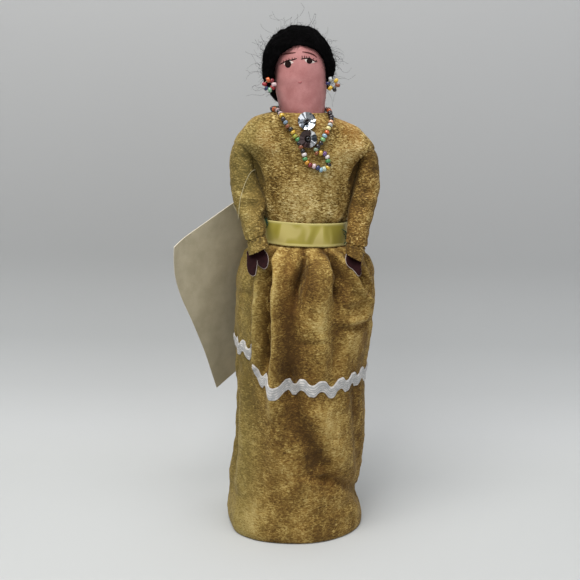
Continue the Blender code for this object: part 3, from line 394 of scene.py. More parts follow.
def even_route(points: Sequence[Vector], count: int, closed: bool = False) -> list[Vector]:
    """Return evenly spaced points on a smooth curve through the given ones.

    Args:
        points: The curve's own points.
        count: How many points to return.
        closed: Whether the curve closes on itself.

    Returns:
        The points; on an open curve the first and last are its ends.
    """
    ends = list(points)
    ring = ends + [ends[0]] if closed else ends
    dense: list[Vector] = []
    for index in range(len(ring) - 1):
        before = ring[index - 1] if index else (ring[-2] if closed else ring[0])
        start, end = ring[index], ring[index + 1]
        after = ring[index + 2] if index + 2 < len(ring) else (ring[1] if closed else ring[-1])
        for step in range(12):
            t = step / 12
            dense.append(0.5 * (2 * start + (end - before) * t + (2 * before - 5 * start + 4 * end - after) * t ** 2
                                + (3 * start - before - 3 * end + after) * t ** 3))
    dense.append(ring[-1].copy())
    lengths = [0.0]
    for here, ahead in zip(dense, dense[1:]):
        lengths.append(lengths[-1] + (ahead - here).length)
    goals = np.linspace(0, lengths[-1], count + 1)[:-1] if closed else np.linspace(0, lengths[-1], count)
    places = []
    for goal in goals:
        segment = int(min(max(np.searchsorted(lengths, goal, side="right") - 1, 0), len(dense) - 2))
        span = max(lengths[segment + 1] - lengths[segment], 1e-9)
        places.append(dense[segment].lerp(dense[segment + 1], (goal - lengths[segment]) / span))
    return places


def tube(name: str, route: Sequence[Vector], radii: Sequence[float], closed: bool = False,
         flatten: float = 1.0) -> Object:
    """Make a six-sided tube along a route.

    Args:
        name: The object's name.
        route: Its centre line.
        radii: One radius for each point.
        closed: Whether it closes on itself.
        flatten: Its thickness across the direction that it faces, as a share.

    Returns:
        A closed tube.
    """
    count, sides = len(route), 6
    steady = Vector((0.13, -1.0, 0.21)).normalized()
    grid = np.zeros((count, sides, 3))
    for index, centre in enumerate(route):
        ahead = route[(index + 1) % count] if closed or index + 1 < count else centre
        behind = route[index - 1] if closed or index else centre
        tangent = (ahead - behind).normalized()
        side = tangent.cross(steady).normalized()
        lift = side.cross(tangent).normalized()
        for step in range(sides):
            angle = math.tau * step / sides
            grid[index, step] = centre + (side * math.cos(angle) + lift * math.sin(angle) * flatten) * radii[index]
    return grid_piece(name, grid, wrap_rows=closed)


# Geometry node trees for what repeats


def start_tree(name: str, **inputs: Any) -> tuple[Tree, Any]:
    """Start a geometry tree with named inputs.

    Args:
        name: The tree's name.
        **inputs: The value of each input after the geometry, or None where it is a material. Its name has
            underscores here for spaces.

    Returns:
        The tree and its group input's sockets.
    """
    tree = bpy.data.node_groups.new(name, "GeometryNodeTree")
    for way in ("INPUT", "OUTPUT"):
        tree.interface.new_socket("Geometry", in_out=way, socket_type="NodeSocketGeometry")
    for key, value in inputs.items():
        kind = {int: "Int", float: "Float"}.get(type(value), "Material")
        socket = tree.interface.new_socket(key.replace("_", " "), in_out="INPUT", socket_type=f"NodeSocket{kind}")
        if value is not None:
            socket.default_value = value
    return tree, add_node(tree, "NodeGroupInput").outputs


def close_tree(tree: Tree, shape: Node, finish: Socket) -> Tree:
    """End a geometry tree by making its instances real and giving them their material.

    Args:
        tree: The tree.
        shape: The node that makes the shape.
        finish: The socket that brings the material.

    Returns:
        The tree.
    """
    real = add_node(tree, "GeometryNodeRealizeInstances", {"Geometry": shape})
    dressed = add_node(tree, "GeometryNodeSetMaterial", {"Geometry": real, "Material": finish})
    add_node(tree, "NodeGroupOutput", {0: dressed})
    return tree


def grown(piece: Object, tree: Tree, **values: Any) -> Object:
    """Run a geometry tree on an object and keep the result as a plain mesh.

    Args:
        piece: The object that carries the points, path or surface.
        tree: The geometry tree.
        **values: The tree's inputs, whose names have underscores here for spaces.

    Returns:
        The object with its new mesh.
    """
    modifier = piece.modifiers.new(tree.name, "NODES")
    modifier.node_group = tree
    sockets = {item.name: item.identifier for item in tree.interface.items_tree
               if item.item_type == "SOCKET" and item.in_out == "INPUT"}
    for key, value in values.items():
        modifier[sockets[key.replace("_", " ")]] = value
    return plain_mesh(piece)


def bead_tree() -> Tree:
    """Build the tree that strings glass beads on points, each with its own slight size and turn.

    Returns:
        The tree.
    """
    tree, given = start_tree(
        "strung_beads", Radius=1.4 * MM, Bore=0.5 * MM, Length=2.0 * MM, Spread=0.06, Seed=1, Finish=None)
    half = add_node(tree, MATH, {0: given["Radius"], 1: given["Bore"]}, operation="ADD")
    middle = add_node(tree, MATH, {0: half, 1: 0.5}, operation="MULTIPLY")
    wall = add_node(tree, MATH, {0: given["Radius"], 1: middle}, operation="SUBTRACT")
    ring = add_node(tree, CIRCLE, {"Resolution": 18, "Radius": middle})
    outline = add_node(tree, CIRCLE, {"Resolution": 12, "Radius": 1.0})
    tall = add_node(tree, MATH, {0: given["Length"], 1: 0.5}, operation="MULTIPLY")
    scale = add_node(tree, "ShaderNodeCombineXYZ", {0: wall, 1: tall, 2: 1.0})
    profile = add_node(tree, "GeometryNodeTransform", {"Geometry": outline, "Scale": scale})
    bead = add_node(tree, TO_MESH, {"Curve": ring, "Profile Curve": profile})
    smooth = add_node(tree, "GeometryNodeSetShadeSmooth", {"Geometry": bead})
    along = add_node(tree, "GeometryNodeInputNamedAttribute", {"Name": "along"}, data_type="FLOAT_VECTOR")
    aim = add_node(tree, ALIGN, {"Vector": along}, axis="Z")
    size = add_node(tree, RANDOM, {"Seed": given["Seed"]}, data_type="FLOAT").outputs[1]
    spread = add_node(tree, MATH, {0: size, 1: given["Spread"], 2: 1.0}, operation="MULTIPLY_ADD")
    shrink = add_node(tree, MATH, {0: spread, 1: given["Spread"]}, operation="SUBTRACT")
    strung = add_node(tree, ON_POINTS, {
        "Points": given["Geometry"], "Instance": smooth, "Rotation": aim, "Scale": shrink})
    return close_tree(tree, strung, given["Finish"])


def stitch_tree() -> Tree:
    """Build the tree that lays stitches of thread along a path.

    Returns:
        The tree.
    """
    tree, given = start_tree(
        "hand_stitches", Pitch=2.0 * MM, Length=1.2 * MM, Radius=0.2 * MM, Seed=3, Finish=None)
    path = add_node(tree, "GeometryNodeMeshToCurve", {"Mesh": given["Geometry"]})
    spaced = add_node(tree, "GeometryNodeResampleCurve", {"Curve": path, "Length": given["Pitch"]}, mode="LENGTH")
    ball = add_node(tree, "GeometryNodeMeshUVSphere", {"Segments": 8, "Rings": 6, "Radius": 1.0})
    half = add_node(tree, MATH, {0: given["Length"], 1: 0.5}, operation="MULTIPLY")
    scale = add_node(tree, "ShaderNodeCombineXYZ", {0: given["Radius"], 1: given["Radius"], 2: half})
    stitch = add_node(tree, "GeometryNodeTransform", {"Geometry": ball, "Scale": scale})
    smooth = add_node(tree, "GeometryNodeSetShadeSmooth", {"Geometry": stitch})
    tangent = add_node(tree, "GeometryNodeInputTangent")
    jitter = add_node(tree, RANDOM, {
        "Min": (-0.18, -0.18, -0.18), "Max": (0.18, 0.18, 0.18), "Seed": given["Seed"]}, data_type="FLOAT_VECTOR")
    lean = add_node(tree, VECTOR_MATH, {0: tangent, 1: jitter}, operation="ADD")
    aim = add_node(tree, ALIGN, {"Vector": lean}, axis="Z")
    laid = add_node(tree, ON_POINTS, {"Points": spaced, "Instance": smooth, "Rotation": aim})
    return close_tree(tree, laid, given["Finish"])


def fibre_tree() -> Tree:
    """Build the tree that grows loose wool fibres from a surface, each bent its own way.

    Returns:
        The tree.
    """
    tree, given = start_tree(
        "wool_fibres", Density=1.0e5, Fibre_Length=5.0 * MM, Lift=0.2, Wander=0.5, Curl=1.5 * MM, Curl_Size=90.0,
        Radius=0.08 * MM, Seed=5, Finish=None)
    spread = add_node(tree, "GeometryNodeDistributePointsOnFaces", {
        "Mesh": given["Geometry"], "Density": given["Density"], "Seed": given["Seed"]})
    normal = spread.outputs["Normal"]
    strand = add_node(tree, "GeometryNodeCurvePrimitiveLine", {"Start": (0, 0, 0), "End": (0, 0, 1)})
    fine = add_node(tree, "GeometryNodeResampleCurve", {"Curve": strand, "Count": 9})
    fall = add_node(tree, VECTOR_MATH, {0: (1.0, 0.35, -0.55), 1: normal}, operation="CROSS_PRODUCT")
    raised = add_node(tree, VECTOR_MATH, {0: normal, 3: given["Lift"]}, operation="SCALE")
    stray = add_node(tree, RANDOM, {
        "Min": (-1.0, -1.0, -1.0), "Max": (1.0, 1.0, 1.0), "Seed": given["Seed"]}, data_type="FLOAT_VECTOR")
    strayed = add_node(tree, VECTOR_MATH, {0: stray, 3: given["Wander"]}, operation="SCALE")
    first = add_node(tree, VECTOR_MATH, {0: fall, 1: raised}, operation="ADD")
    course = add_node(tree, VECTOR_MATH, {0: first, 1: strayed}, operation="ADD")
    aim = add_node(tree, ALIGN, {"Vector": course}, axis="Z")
    share = add_node(tree, RANDOM, {2: 0.35, 3: 1.0, "Seed": given["Seed"]}, data_type="FLOAT").outputs[1]
    length = add_node(tree, MATH, {0: share, 1: given["Fibre Length"]}, operation="MULTIPLY")
    placed = add_node(tree, ON_POINTS, {"Points": spread, "Instance": fine, "Rotation": aim, "Scale": length})
    real = add_node(tree, "GeometryNodeRealizeInstances", {"Geometry": placed})
    position = add_node(tree, "GeometryNodeInputPosition")
    ripple = add_node(tree, NOISE, {"Vector": position, "Scale": given["Curl Size"], "Detail": 1.0})
    centred = add_node(tree, VECTOR_MATH, {0: ripple.outputs["Color"], 1: (0.5, 0.5, 0.5)}, operation="SUBTRACT")
    # A fibre bends more the farther it is from its root
    way = add_node(tree, "GeometryNodeSplineParameter")
    reach = add_node(tree, MATH, {0: way, 1: given["Curl"]}, operation="MULTIPLY")
    wide = add_node(tree, MATH, {0: reach, 1: 4.0}, operation="MULTIPLY")
    bend = add_node(tree, VECTOR_MATH, {0: centred, 3: wide}, operation="SCALE")
    bent = add_node(tree, "GeometryNodeSetPosition", {"Geometry": real, "Offset": bend})
    profile = add_node(tree, CIRCLE, {"Resolution": 3, "Radius": given["Radius"]})
    fibre = add_node(tree, TO_MESH, {"Curve": bent, "Profile Curve": profile, "Fill Caps": True})
    return close_tree(tree, fibre, given["Finish"])


# Finishes


@dataclass(frozen=True)
class CrushedVelvet:
    """Polyester velvet, woven with a pile and crushed wet, so that it lies in soft lighter and darker areas."""

    name: str
    # Colours from the pile's roots to its tips
    shades: tuple[str, ...]
    depth: float
    crush: float
    warm: str = "#8E5516"
    olive: str = "#7A7440"
    patch: float = 6.0 * MM
    broad: float = 17.0 * MM
    streak: float = 7.5 * MM
    tuft: float = 0.72 * MM

    def build(self) -> Material:
        """Build the material; its pattern follows the cloth's rest place, and each piece's painted shade darkens fold
        valleys and lightens ridges.

        Returns:
            The material.
        """
        finish, tree, shader = new_material(self.name)
        place = add_node(tree, ATTRIBUTE, attribute_name=PLACE).outputs["Vector"]
        shade = add_node(tree, ATTRIBUTE, attribute_name=SHADE).outputs["Fac"]
        # Crushed patches with feathered edges, drawn out down the cloth, and the broad lie of the pile
        combed = add_node(tree, MAPPING, {"Vector": place, "Rotation": (0.0, 0.3, 0.0), "Scale": (1.0, 1.0, 0.6)})
        patches = add_node(tree, NOISE, {
            "Vector": combed, "Scale": 1 / self.patch, "Detail": 6.0, "Roughness": 0.72, "Distortion": 0.3})
        broad = add_node(tree, NOISE, {"Vector": combed, "Scale": 1 / self.broad, "Detail": 3.0})
        # Tufts of pile in short strokes round the cloth, drawn about twice their real 0.3 mm so that they show
        drawn = add_node(tree, MAPPING, {"Vector": place, "Scale": (0.5, 0.5, 1.15)})
        tufts = add_node(tree, NOISE, {"Vector": drawn, "Scale": 1 / self.tuft, "Detail": 1.0, "Distortion": 0.9})
        centred = add_node(tree, MATH, {0: tufts, 1: 0.5}, operation="SUBTRACT")
        # Where the pile lies light its tufts show more
        shown = add_node(tree, RANGE, {
            "Value": patches, "From Min": 0.38, "From Max": 0.62, "To Min": 0.65 * self.depth,
            "To Max": 1.2 * self.depth})
        # Streaks where wet crushing has laid the pile flat, light along one edge and feathered along the other
        streaks = add_node(tree, NOISE, {
            "Vector": combed, "Scale": 1 / self.streak, "Detail": 6.0, "Roughness": 0.68, "Distortion": 1.2})
        laid = add_node(tree, RANGE, {
            "Value": streaks, "From Min": 0.46, "From Max": 0.66, "To Min": -0.2 * self.crush,
            "To Max": self.crush})
        # Sum the pile's tufts, patches, broad lie and laid streaks, and the painted shade of the folds
        lie = 0.135
        for part, weight in ((centred, shown), (patches, 0.28), (broad, 0.45), (laid, 1.0), (shade, 0.085)):
            lie = add_node(tree, MATH, {0: part, 1: weight, 2: lie}, operation="MULTIPLY_ADD")
        tone = add_node(tree, RAMP, {0: lie}, stops=tuple(zip((0.27, 0.41, 0.51, 0.63, 0.82), self.shades)))
        # The dye turns warmer near the shoulders and greener on the doll's right
        parts = add_node(tree, "ShaderNodeSeparateXYZ", {0: place})
        near_neck = add_node(tree, RANGE, {
            "Value": parts.outputs[2], "From Min": 0.212, "From Max": 0.236, "To Min": 0.10, "To Max": 0.65})
        tint = add_node(tree, RANGE, {"Value": broad, "From Min": 0.46, "From Max": 0.62})
        warmth = add_node(tree, MATH, {0: tint, 1: near_neck}, operation="MULTIPLY")
        warmed = add_node(tree, MIX, {0: warmth, 6: tone, 7: linear(self.warm)}, data_type="RGBA")
        right = add_node(tree, RANGE, {
            "Value": parts, "From Min": -0.016, "From Max": -0.030, "To Min": 0.04, "To Max": 0.42})
        colour = add_node(tree, MIX, {0: right, 6: warmed.outputs[2], 7: linear(self.olive)}, data_type="RGBA")
        relief = add_node(tree, MATH, {0: patches, 1: 0.5, 2: tufts}, operation="MULTIPLY_ADD")
        bump = add_node(tree, BUMP, {"Height": relief, "Strength": 0.9, "Distance": 0.5 * MM * self.depth})
        # Pile catches light from the side, which sheen gives with one steady weight
        feed(tree, shader, {
            "Base Color": colour.outputs[2], "Normal": bump, "Roughness": 0.8, "Specular IOR Level": 0.2,
            "Sheen Weight": 0.22, "Sheen Roughness": 0.4, "Sheen Tint": linear("#E2CD9C")})
        return finish


@dataclass(frozen=True)
class SatinRibbon:
    """Woven polyester satin ribbon, dyed in soft olive and pale patches, with a smooth face and a selvedge."""

    name: str = "satin_ribbon"
    # Colours of the dye's patches, from olive to pale, and of the selvedge
    shades: tuple[str, ...] = ("#968A30", "#A79A42", "#BFB068")
    selvedge: str = "#C6BA74"
    patch: float = 8.5 * MM
    thread: float = 3.0 * MM

    def build(self) -> Material:
        """Build the material from slanting dye patches and fine threads along the ribbon.

        Returns:
            The material.
        """
        finish, tree, shader = new_material(self.name)
        place = add_node(tree, ATTRIBUTE, attribute_name=PLACE).outputs["Vector"]
        slant = add_node(tree, MAPPING, {"Vector": place, "Rotation": (0.0, 0.5, 0.0), "Scale": (1.0, 1.0, 0.45)})
        dye = add_node(tree, NOISE, {"Vector": slant, "Scale": 1 / self.patch, "Detail": 1.0, "Distortion": 0.5})
        tone = add_node(tree, RAMP, {0: dye}, stops=tuple(zip((0.40, 0.52, 0.60), self.shades)))
        fine = add_node(tree, MAPPING, {"Vector": place, "Scale": (1.0, 1.0, 14.0)})
        threads = add_node(tree, NOISE, {"Vector": fine, "Scale": 1 / self.thread, "Detail": 2.0})
        edge = add_node(tree, ATTRIBUTE, attribute_name=SHADE).outputs["Fac"]
        colour = add_node(tree, MIX, {0: edge, 6: tone, 7: linear(self.selvedge)}, data_type="RGBA")
        bump = add_node(tree, BUMP, {"Height": threads, "Strength": 0.25, "Distance": 0.08 * MM})
        feed(tree, shader, {
            "Base Color": colour.outputs[2], "Normal": bump, "Roughness": 0.5, "Sheen Weight": 0.1,
            "Specular IOR Level": 0.4})
        return finish


@dataclass(frozen=True)
class SpottedFinish:
    """A plain stuff with a mottled colour and a fine grain, for the pieces that have no pattern of their own."""

    name: str
    base: str
    other: str
    # Sizes of the mottling and of the grain, and the grain's height, in millimetres
    mottle: float
    grain: float
    relief: float
    roughness: float
    sheen: float = 0.0
    weave: bool = False
    specular: float = 0.35
    # How much the piece's painted shade, read from its shade values, darkens it
    shaded: float = 0.0

    def build(self) -> Material:
        """Build the material from two noises, with a plain weave's threads where it is woven.

        Returns:
            The material.
        """
        finish, tree, shader = new_material(self.name)
        place = add_node(tree, "ShaderNodeTexCoord").outputs["Object"]
        mottle = add_node(tree, NOISE, {"Vector": place, "Scale": 1 / (self.mottle * MM), "Detail": 4.0})
        grain = add_node(tree, NOISE, {
            "Vector": place, "Scale": 1 / (self.grain * MM), "Detail": 3.0, "Roughness": 0.7})
        mixed = add_node(tree, MATH, {0: grain, 1: 0.5, 2: mottle}, operation="MULTIPLY_ADD")
        if self.shaded:
            shade = add_node(tree, ATTRIBUTE, attribute_name=SHADE).outputs["Fac"]
            mixed = add_node(tree, MATH, {0: shade, 1: self.shaded, 2: mixed}, operation="MULTIPLY_ADD")
        tone = add_node(tree, RAMP, {0: mixed}, stops=((0.55, self.base), (0.95, self.other)))
        height = grain
        if self.weave:
            waves = [add_node(tree, "ShaderNodeTexWave", {
                "Vector": place, "Scale": 0.16 / (self.grain * MM), "Distortion": 0.6}, bands_direction=way)
                     for way in "XZ"]
            height = add_node(tree, MATH, {0: waves[0].outputs[1], 1: waves[1].outputs[1]}, operation="MULTIPLY")
        bump = add_node(tree, BUMP, {"Height": height, "Strength": 0.6, "Distance": self.relief * MM})
        feed(tree, shader, {
            "Base Color": tone, "Normal": bump, "Roughness": self.roughness, "Sheen Weight": self.sheen,
            "Specular IOR Level": self.specular})
        return finish


@dataclass(frozen=True)
class BeadGlass:
    """Opaque glass seed beads, drawn and tumbled bright, whose colour each bead carries itself."""

    name: str = "seed_bead_glass"
    cloud: float = 0.9 * MM

    def build(self) -> Material:
        """Build the material from the beads' own tint, a little milky.

        Returns:
            The material.
        """
        finish, tree, shader = new_material(self.name)
        tint = add_node(tree, ATTRIBUTE, attribute_name=TINT).outputs["Color"]
        place = add_node(tree, "ShaderNodeTexCoord").outputs["Object"]
        cloud = add_node(tree, NOISE, {"Vector": place, "Scale": 1 / self.cloud, "Detail": 2.0})
        milk = add_node(tree, RANGE, {"Value": cloud, "To Min": 0.70})
        colour = add_node(tree, VECTOR_MATH, {0: tint, 3: milk}, operation="SCALE")
        feed(tree, shader, {
            "Base Color": colour, "Roughness": 0.16, "IOR": 1.52, "Coat Weight": 0.4, "Coat Roughness": 0.05})
        return finish


@dataclass(frozen=True)
class SilveredFilm:
    """Polyester film, vacuum-silvered and pressed into a faceted cup; the lower one carries a painted dark reflection
    over most of its face.
    """

    name: str = "silvered_film"
    painted_dark_reflection: float = 0.0
    # Where the painted dark reflection ends, across the doll
    edge: float = 0.0
    wear_and_reflection_size: float = 1.4 * MM
    facet: float = 2.1 * MM

    def build(self) -> Material:
        """Build the material; the painted dark reflection stops short of one rim, which keeps the plain silver.

        Returns:
            The material.
        """
        finish, tree, shader = new_material(self.name)
        place = add_node(tree, "ShaderNodeTexCoord").outputs["Object"]
        across = add_node(tree, "ShaderNodeSeparateXYZ", {0: place})
        # One noise gives both the film's rougher and smoother wear and the wandering edge of the painted dark
        # reflection
        wear_and_reflection_noise = add_node(tree, NOISE, {"Vector": place, "Scale": 1 / self.wear_and_reflection_size, "Detail": 3.0})
        wander = add_node(tree, MATH, {0: wear_and_reflection_noise, 1: 0.8 * MM, 2: across}, operation="MULTIPLY_ADD")
        # Mask of the painted dark reflection
        rim = add_node(tree, RANGE, {
            "Value": wander, "From Min": self.edge - 0.3 * MM, "From Max": self.edge + 0.5 * MM,
            "To Min": self.painted_dark_reflection, "To Max": 0.0})
        # Painted reflections: dark facets that stand for a dark corner of the room, which the studio does not have
        facets = add_node(tree, "ShaderNodeTexVoronoi", {"Vector": place, "Scale": 1 / self.facet})
        bright = add_node(tree, "ShaderNodeSeparateColor", {0: facets.outputs["Color"]})
        film = add_node(tree, RAMP, {0: bright}, stops=(
            (0.0, "#3A3F44"), (0.18, "#7D838A"), (0.24, "#DADDE0"), (1.0, "#F6F7F8")))
        # Painted dark reflection: a dark brown laid over the silver where the mask holds
        colour = add_node(tree, MIX, {0: rim, 6: film, 7: linear("#3C2A26")}, data_type="RGBA")
        rough = add_node(tree, RANGE, {"Value": wear_and_reflection_noise, "To Min": 0.08, "To Max": 0.24})
        feed(tree, shader, {"Base Color": colour.outputs[2], "Roughness": rough, "Metallic": 1.0})
        return finish


@dataclass(frozen=True)
class Wardrobe:
    """Every finish of the doll, built once and shared by its pieces."""

    velvet: Material
    skirt_velvet: Material
    ribbon: Material
    rickrack: Material
    skin: Material
    felt: Material
    fibre: Material
    leather: Material
    cut_edge: Material
    card: Material
    card_edge: Material
    thread: Material
    green_thread: Material
    dark_thread: Material
    beads: Material
    silver: Material
    painted_dark_reflection: Material
    paint: Material
    brow_paint: Material
    mouth_paint: Material
    eye_white: Material
    muslin: Material
    grey_card: Material

    @classmethod
    def build(cls) -> "Wardrobe":
        """Build every finish.

        Returns:
            The wardrobe.
        """
        finishes = {
            # Bleached cotton braid, flat woven and slightly fuzzy, with painted shade in the grooves between its
            # yarns
            "rickrack": SpottedFinish("cotton_rickrack", "#A9A9A9", "#E4DFDA", 2, 0.35, 0.2, 0.9, 0.2, shaded=0.5),
            # Pink cotton knit drawn tight over wadding, smooth with a faint slub
            "skin": SpottedFinish("pink_cotton_knit", "#A86B69", "#BC8280", 6, 0.5, 0.1, 0.55, 0.1),
            # Black wool, wet-felted to a dense matte mat
            "felt": SpottedFinish("felted_wool", "#020202", "#070607", 3, 0.4, 0.3, 0.95, specular=0.03),
            # Loose fibres of the same wool
            "fibre": SpottedFinish("loose_wool_fibre", "#030303", "#0B090A", 3, 0.4, 0.02, 0.9, specular=0.03),
            # Vinyl-coated cloth, embossed with a fine leather grain
            "leather": SpottedFinish("leatherette", "#1B0A0B", "#2C1416", 3, 0.45, 0.12, 0.6, specular=0.06),
            # The cloth backing of the leatherette, bare where the scissors cut it
            "cut_edge": SpottedFinish("cut_cloth_backing", "#B9A9A4", "#D8CCC6", 1.5, 0.2, 0.1, 0.95),
            # Uncoated cream card, pressed from flecked pulp
            "card": SpottedFinish("cream_card", "#B1A78D", "#C6BCA2", 9, 0.4, 0.05, 0.9),
            # Torn and cut pulp at the card's edge, paler than its face
            "card_edge": SpottedFinish("cut_card_edge", "#BDB5A2", "#DAD3C2", 2, 0.2, 0.05, 0.95),
            # Spun polyester sewing threads, which differ in their dye alone
            "thread": SpottedFinish("pale_thread", "#A89C74", "#C6BA94", 1, 0.15, 0.05, 0.8, 0.2),
            "green_thread": SpottedFinish("green_thread", "#1E3A2A", "#2F5540", 1, 0.15, 0.05, 0.8),
            "dark_thread": SpottedFinish("brown_thread", "#3A2A12", "#54401E", 1, 0.15, 0.05, 0.8),
            # Acrylic paint, brushed on cloth
            "paint": SpottedFinish("dark_brown_paint", "#130A09", "#241513", 1, 0.2, 0.03, 0.7, specular=0.08),
            "brow_paint": SpottedFinish("red_brown_paint", "#431A19", "#5E2926", 1, 0.2, 0.03, 0.7),
            "mouth_paint": SpottedFinish("rose_paint", "#A05557", "#B06A6A", 1, 0.2, 0.03, 0.6),
            "eye_white": SpottedFinish("white_paint", "#C4B5AE", "#DACBC4", 1, 0.2, 0.03, 0.6),
            # Unbleached cotton muslin, plain woven
            "muslin": SpottedFinish("cotton_muslin", "#D8CFBC", "#EBE4D4", 5, 0.4, 0.1, 0.95, weave=True),
            # Pulp board, grey and pressed
            "grey_card": SpottedFinish("grey_board", "#8E8168", "#A59879", 4, 0.5, 0.06, 0.95),
            "velvet": CrushedVelvet(
                "crushed_velvet", ("#48300D", "#6F5321", "#967B42", "#BDA568", "#E6D49C"), 0.95, 0.06),
            "skirt_velvet": CrushedVelvet(
                "crushed_velvet_skirt", ("#452B0C", "#65481D", "#80632E", "#A88D4E", "#CDB678"), 0.75, 0.105),
            "ribbon": SatinRibbon(),
            "beads": BeadGlass(),
            "silver": SilveredFilm(),
            # The lower sequin's film, most of its face a painted dark reflection
            "painted_dark_reflection": SilveredFilm("browned_film", 0.96, 3.0 * MM),
        }
        return cls(**{key: finish.build() for key, finish in finishes.items()})


@dataclass
class Piece:
    """A part of the doll, made from the finishes of one wardrobe."""

    wardrobe: Wardrobe


# The dress


def oval_points(centre: Sequence[float], half_width: Any, half_depth: Any, turns: np.ndarray) -> np.ndarray:
    """Return points round a level oval.

    Args:
        centre: The oval's centre.
        half_width: Half its width, one for all turns or one for each.
        half_depth: Half its depth, likewise.
        turns: Turns from the front.

    Returns:
        One point for each turn.
    """
    angle = math.tau * turns
    flat = np.stack((half_width * np.sin(angle), -half_depth * np.cos(angle), np.zeros_like(angle)), axis=-1)
    return np.asarray(centre) + flat


@dataclass
class Skirt(Piece):
    """The gathered velvet skirt, cut as one straight width, folded at the waist and closed round its base."""

    half_width: float = 37.6 * MM
    half_depth: float = 32.0 * MM
    fold_depth: float = 6.2 * MM
    hem: float = 0.6 * MM
    top: float = 166.15 * MM
    belt_top: float = 178.0 * MM
    # Sideways place of the waist, and half its width and depth
    waist: tuple[float, float, float] = (1.0 * MM, 22.55 * MM, 15.75 * MM)
    wall: float = 0.8 * MM
    columns: int = 360
    rows: int = 170
    inner_rows: int = 56
    flat: tuple[float, float] = (0.255, 0.178)
    # Level, width, depth, sideways shift and strength of the folds
    ring_shares: tuple = (
        (0.0, 1.04, 1.02, -0.015, 0.5), (0.02, 1.052, 1.034, -0.022, 0.55), (0.05, 1.035, 1.022, -0.03, 0.6),
        (0.105, 0.985, 0.985, -0.04, 0.7), (0.215, 0.99, 0.99, 0.006, 0.75), (0.35, 0.98, 0.99, 0.04, 0.85),
        (0.48, 0.965, 0.985, 0.04, 0.9), (0.57, 0.965, 0.99, 0.01, 0.95), (0.68, 0.992, 1.0, 0.035, 1.0),
        (0.8, 1.002, 1.0, 0.048, 1.0), (0.89, 0.985, 0.96, 0.062, 1.0), (0.94, 0.925, 0.86, 0.078, 0.95),
        (0.97, 0.845, 0.735, 0.065, 0.75), (0.988, 0.72, 0.59, 0.03, 0.35), (1.0, 0.602, 0.495, 0.028, 0.0))
    # Height, half width and path of each main fold, ridges above nothing and valleys below it
    fold_shares: tuple = (
        (0.62, 0.011, ((0.94, -0.122), (0.86, -0.116), (0.76, -0.116), (0.64, -0.117))),
        (-1.05, 0.011, ((0.97, -0.104), (0.9, -0.091), (0.8, -0.087), (0.66, -0.087))),
        (0.82, 0.014, ((1.0, -0.09), (0.917, -0.073), (0.807, -0.066), (0.674, -0.064), (0.5, -0.066))),
        (0.35, 0.022, ((0.5, -0.068), (0.4, -0.07), (0.29, -0.058))),
        (-0.95, 0.013, ((1.0, -0.004), (0.94, -0.014), (0.88, -0.027))),
        (-0.62, 0.021, ((0.885, -0.022), (0.78, -0.031), (0.66, -0.027), (0.56, -0.025))),
        (0.35, 0.017, ((0.96, 0.023), (0.88, 0.028), (0.75, 0.037), (0.61, 0.049))),
        (-0.95, 0.012, ((0.99, 0.062), (0.943, 0.074), (0.906, 0.087), (0.88, 0.082))),
        (-0.48, 0.02, ((0.92, 0.086), (0.84, 0.076), (0.745, 0.081), (0.66, 0.084))),
        (0.8, 0.013, ((1.0, 0.088), (0.94, 0.101), (0.875, 0.13), (0.828, 0.166))),
        (-0.45, 0.012, ((0.99, 0.122), (0.945, 0.127), (0.9, 0.15))),
        (0.35, 0.012, ((0.97, 0.142), (0.93, 0.156), (0.88, 0.19))),
        (-0.66, 0.024, ((0.56, -0.038), (0.51, -0.028), (0.442, -0.012), (0.373, 0.009), (0.3, 0.043),
                        (0.24, 0.078))),
        (0.42, 0.03, ((0.46, 0.04), (0.367, 0.07), (0.3, 0.112))),
        (-0.65, 0.034, ((0.236, 0.032), (0.214, 0.08), (0.19, 0.13), (0.135, 0.21), (0.12, 0.235))),
        (0.4, 0.03, ((0.5, -0.18), (0.0, -0.15))),
        (-0.4, 0.022, ((0.5, 0.155), (0.34, 0.165), (0.2, 0.205))),
        (-0.45, 0.02, ((0.62, -0.235), (0.4, -0.222), (0.2, -0.215))),
        (0.2, 0.024, ((1.0, -0.27), (0.5, -0.262), (0.1, -0.25))),
        (-0.7, 0.022, ((1.0, -0.335), (0.55, -0.33), (0.15, -0.345))),
        (0.55, 0.024, ((1.0, -0.4), (0.6, -0.405), (0.1, -0.395))),
        (-0.7, 0.022, ((1.0, -0.465), (0.5, -0.455), (0.2, -0.45))),
        (0.55, 0.024, ((1.0, 0.465), (0.55, 0.475), (0.1, 0.48))),
        (-0.7, 0.022, ((1.0, 0.4), (0.5, 0.408), (0.2, 0.415))),
        (0.6, 0.024, ((1.0, 0.335), (0.55, 0.34), (0.1, 0.33))),
        (-0.4, 0.022, ((1.0, 0.275), (0.66, 0.272))),
        (0.22, 0.018, ((1.0, 0.225), (0.8, 0.232), (0.62, 0.236))),
        (0.06, 0.018, ((1.0, -0.21), (0.82, -0.205), (0.66, -0.2))))
    # Height, turn and its spread, level and its spread of each crease that runs across the cloth
    creases: tuple = (
        (0.75, -0.105, 0.06, 0.0, 0.09), (-0.12, 0.105, 0.06, 0.0, 0.08), (0.22, -0.25, 0.06, 0.16, 0.09),
        (-0.42, 0.15, 0.055, 0.742, 0.012), (0.3, 0.135, 0.05, 0.766, 0.014), (-0.25, 0.16, 0.04, 0.812, 0.01),
        (0.24, 0.15, 0.04, 0.835, 0.012), (-0.2, -0.16, 0.04, 0.84, 0.012), (0.35, 0.2, 0.05, 0.075, 0.025),
        (-0.3, -0.19, 0.05, 0.13, 0.02), (0.25, -0.03, 0.06, 0.1, 0.03), (-0.22, 0.01, 0.03, 0.7, 0.012),
        (-0.35, 0.33, 0.06, 0.52, 0.014), (-0.35, -0.37, 0.06, 0.66, 0.014), (0.3, 0.43, 0.06, 0.25, 0.02),
        (-0.3, -0.3, 0.05, 0.3, 0.018), (0.25, -0.44, 0.05, 0.42, 0.016))
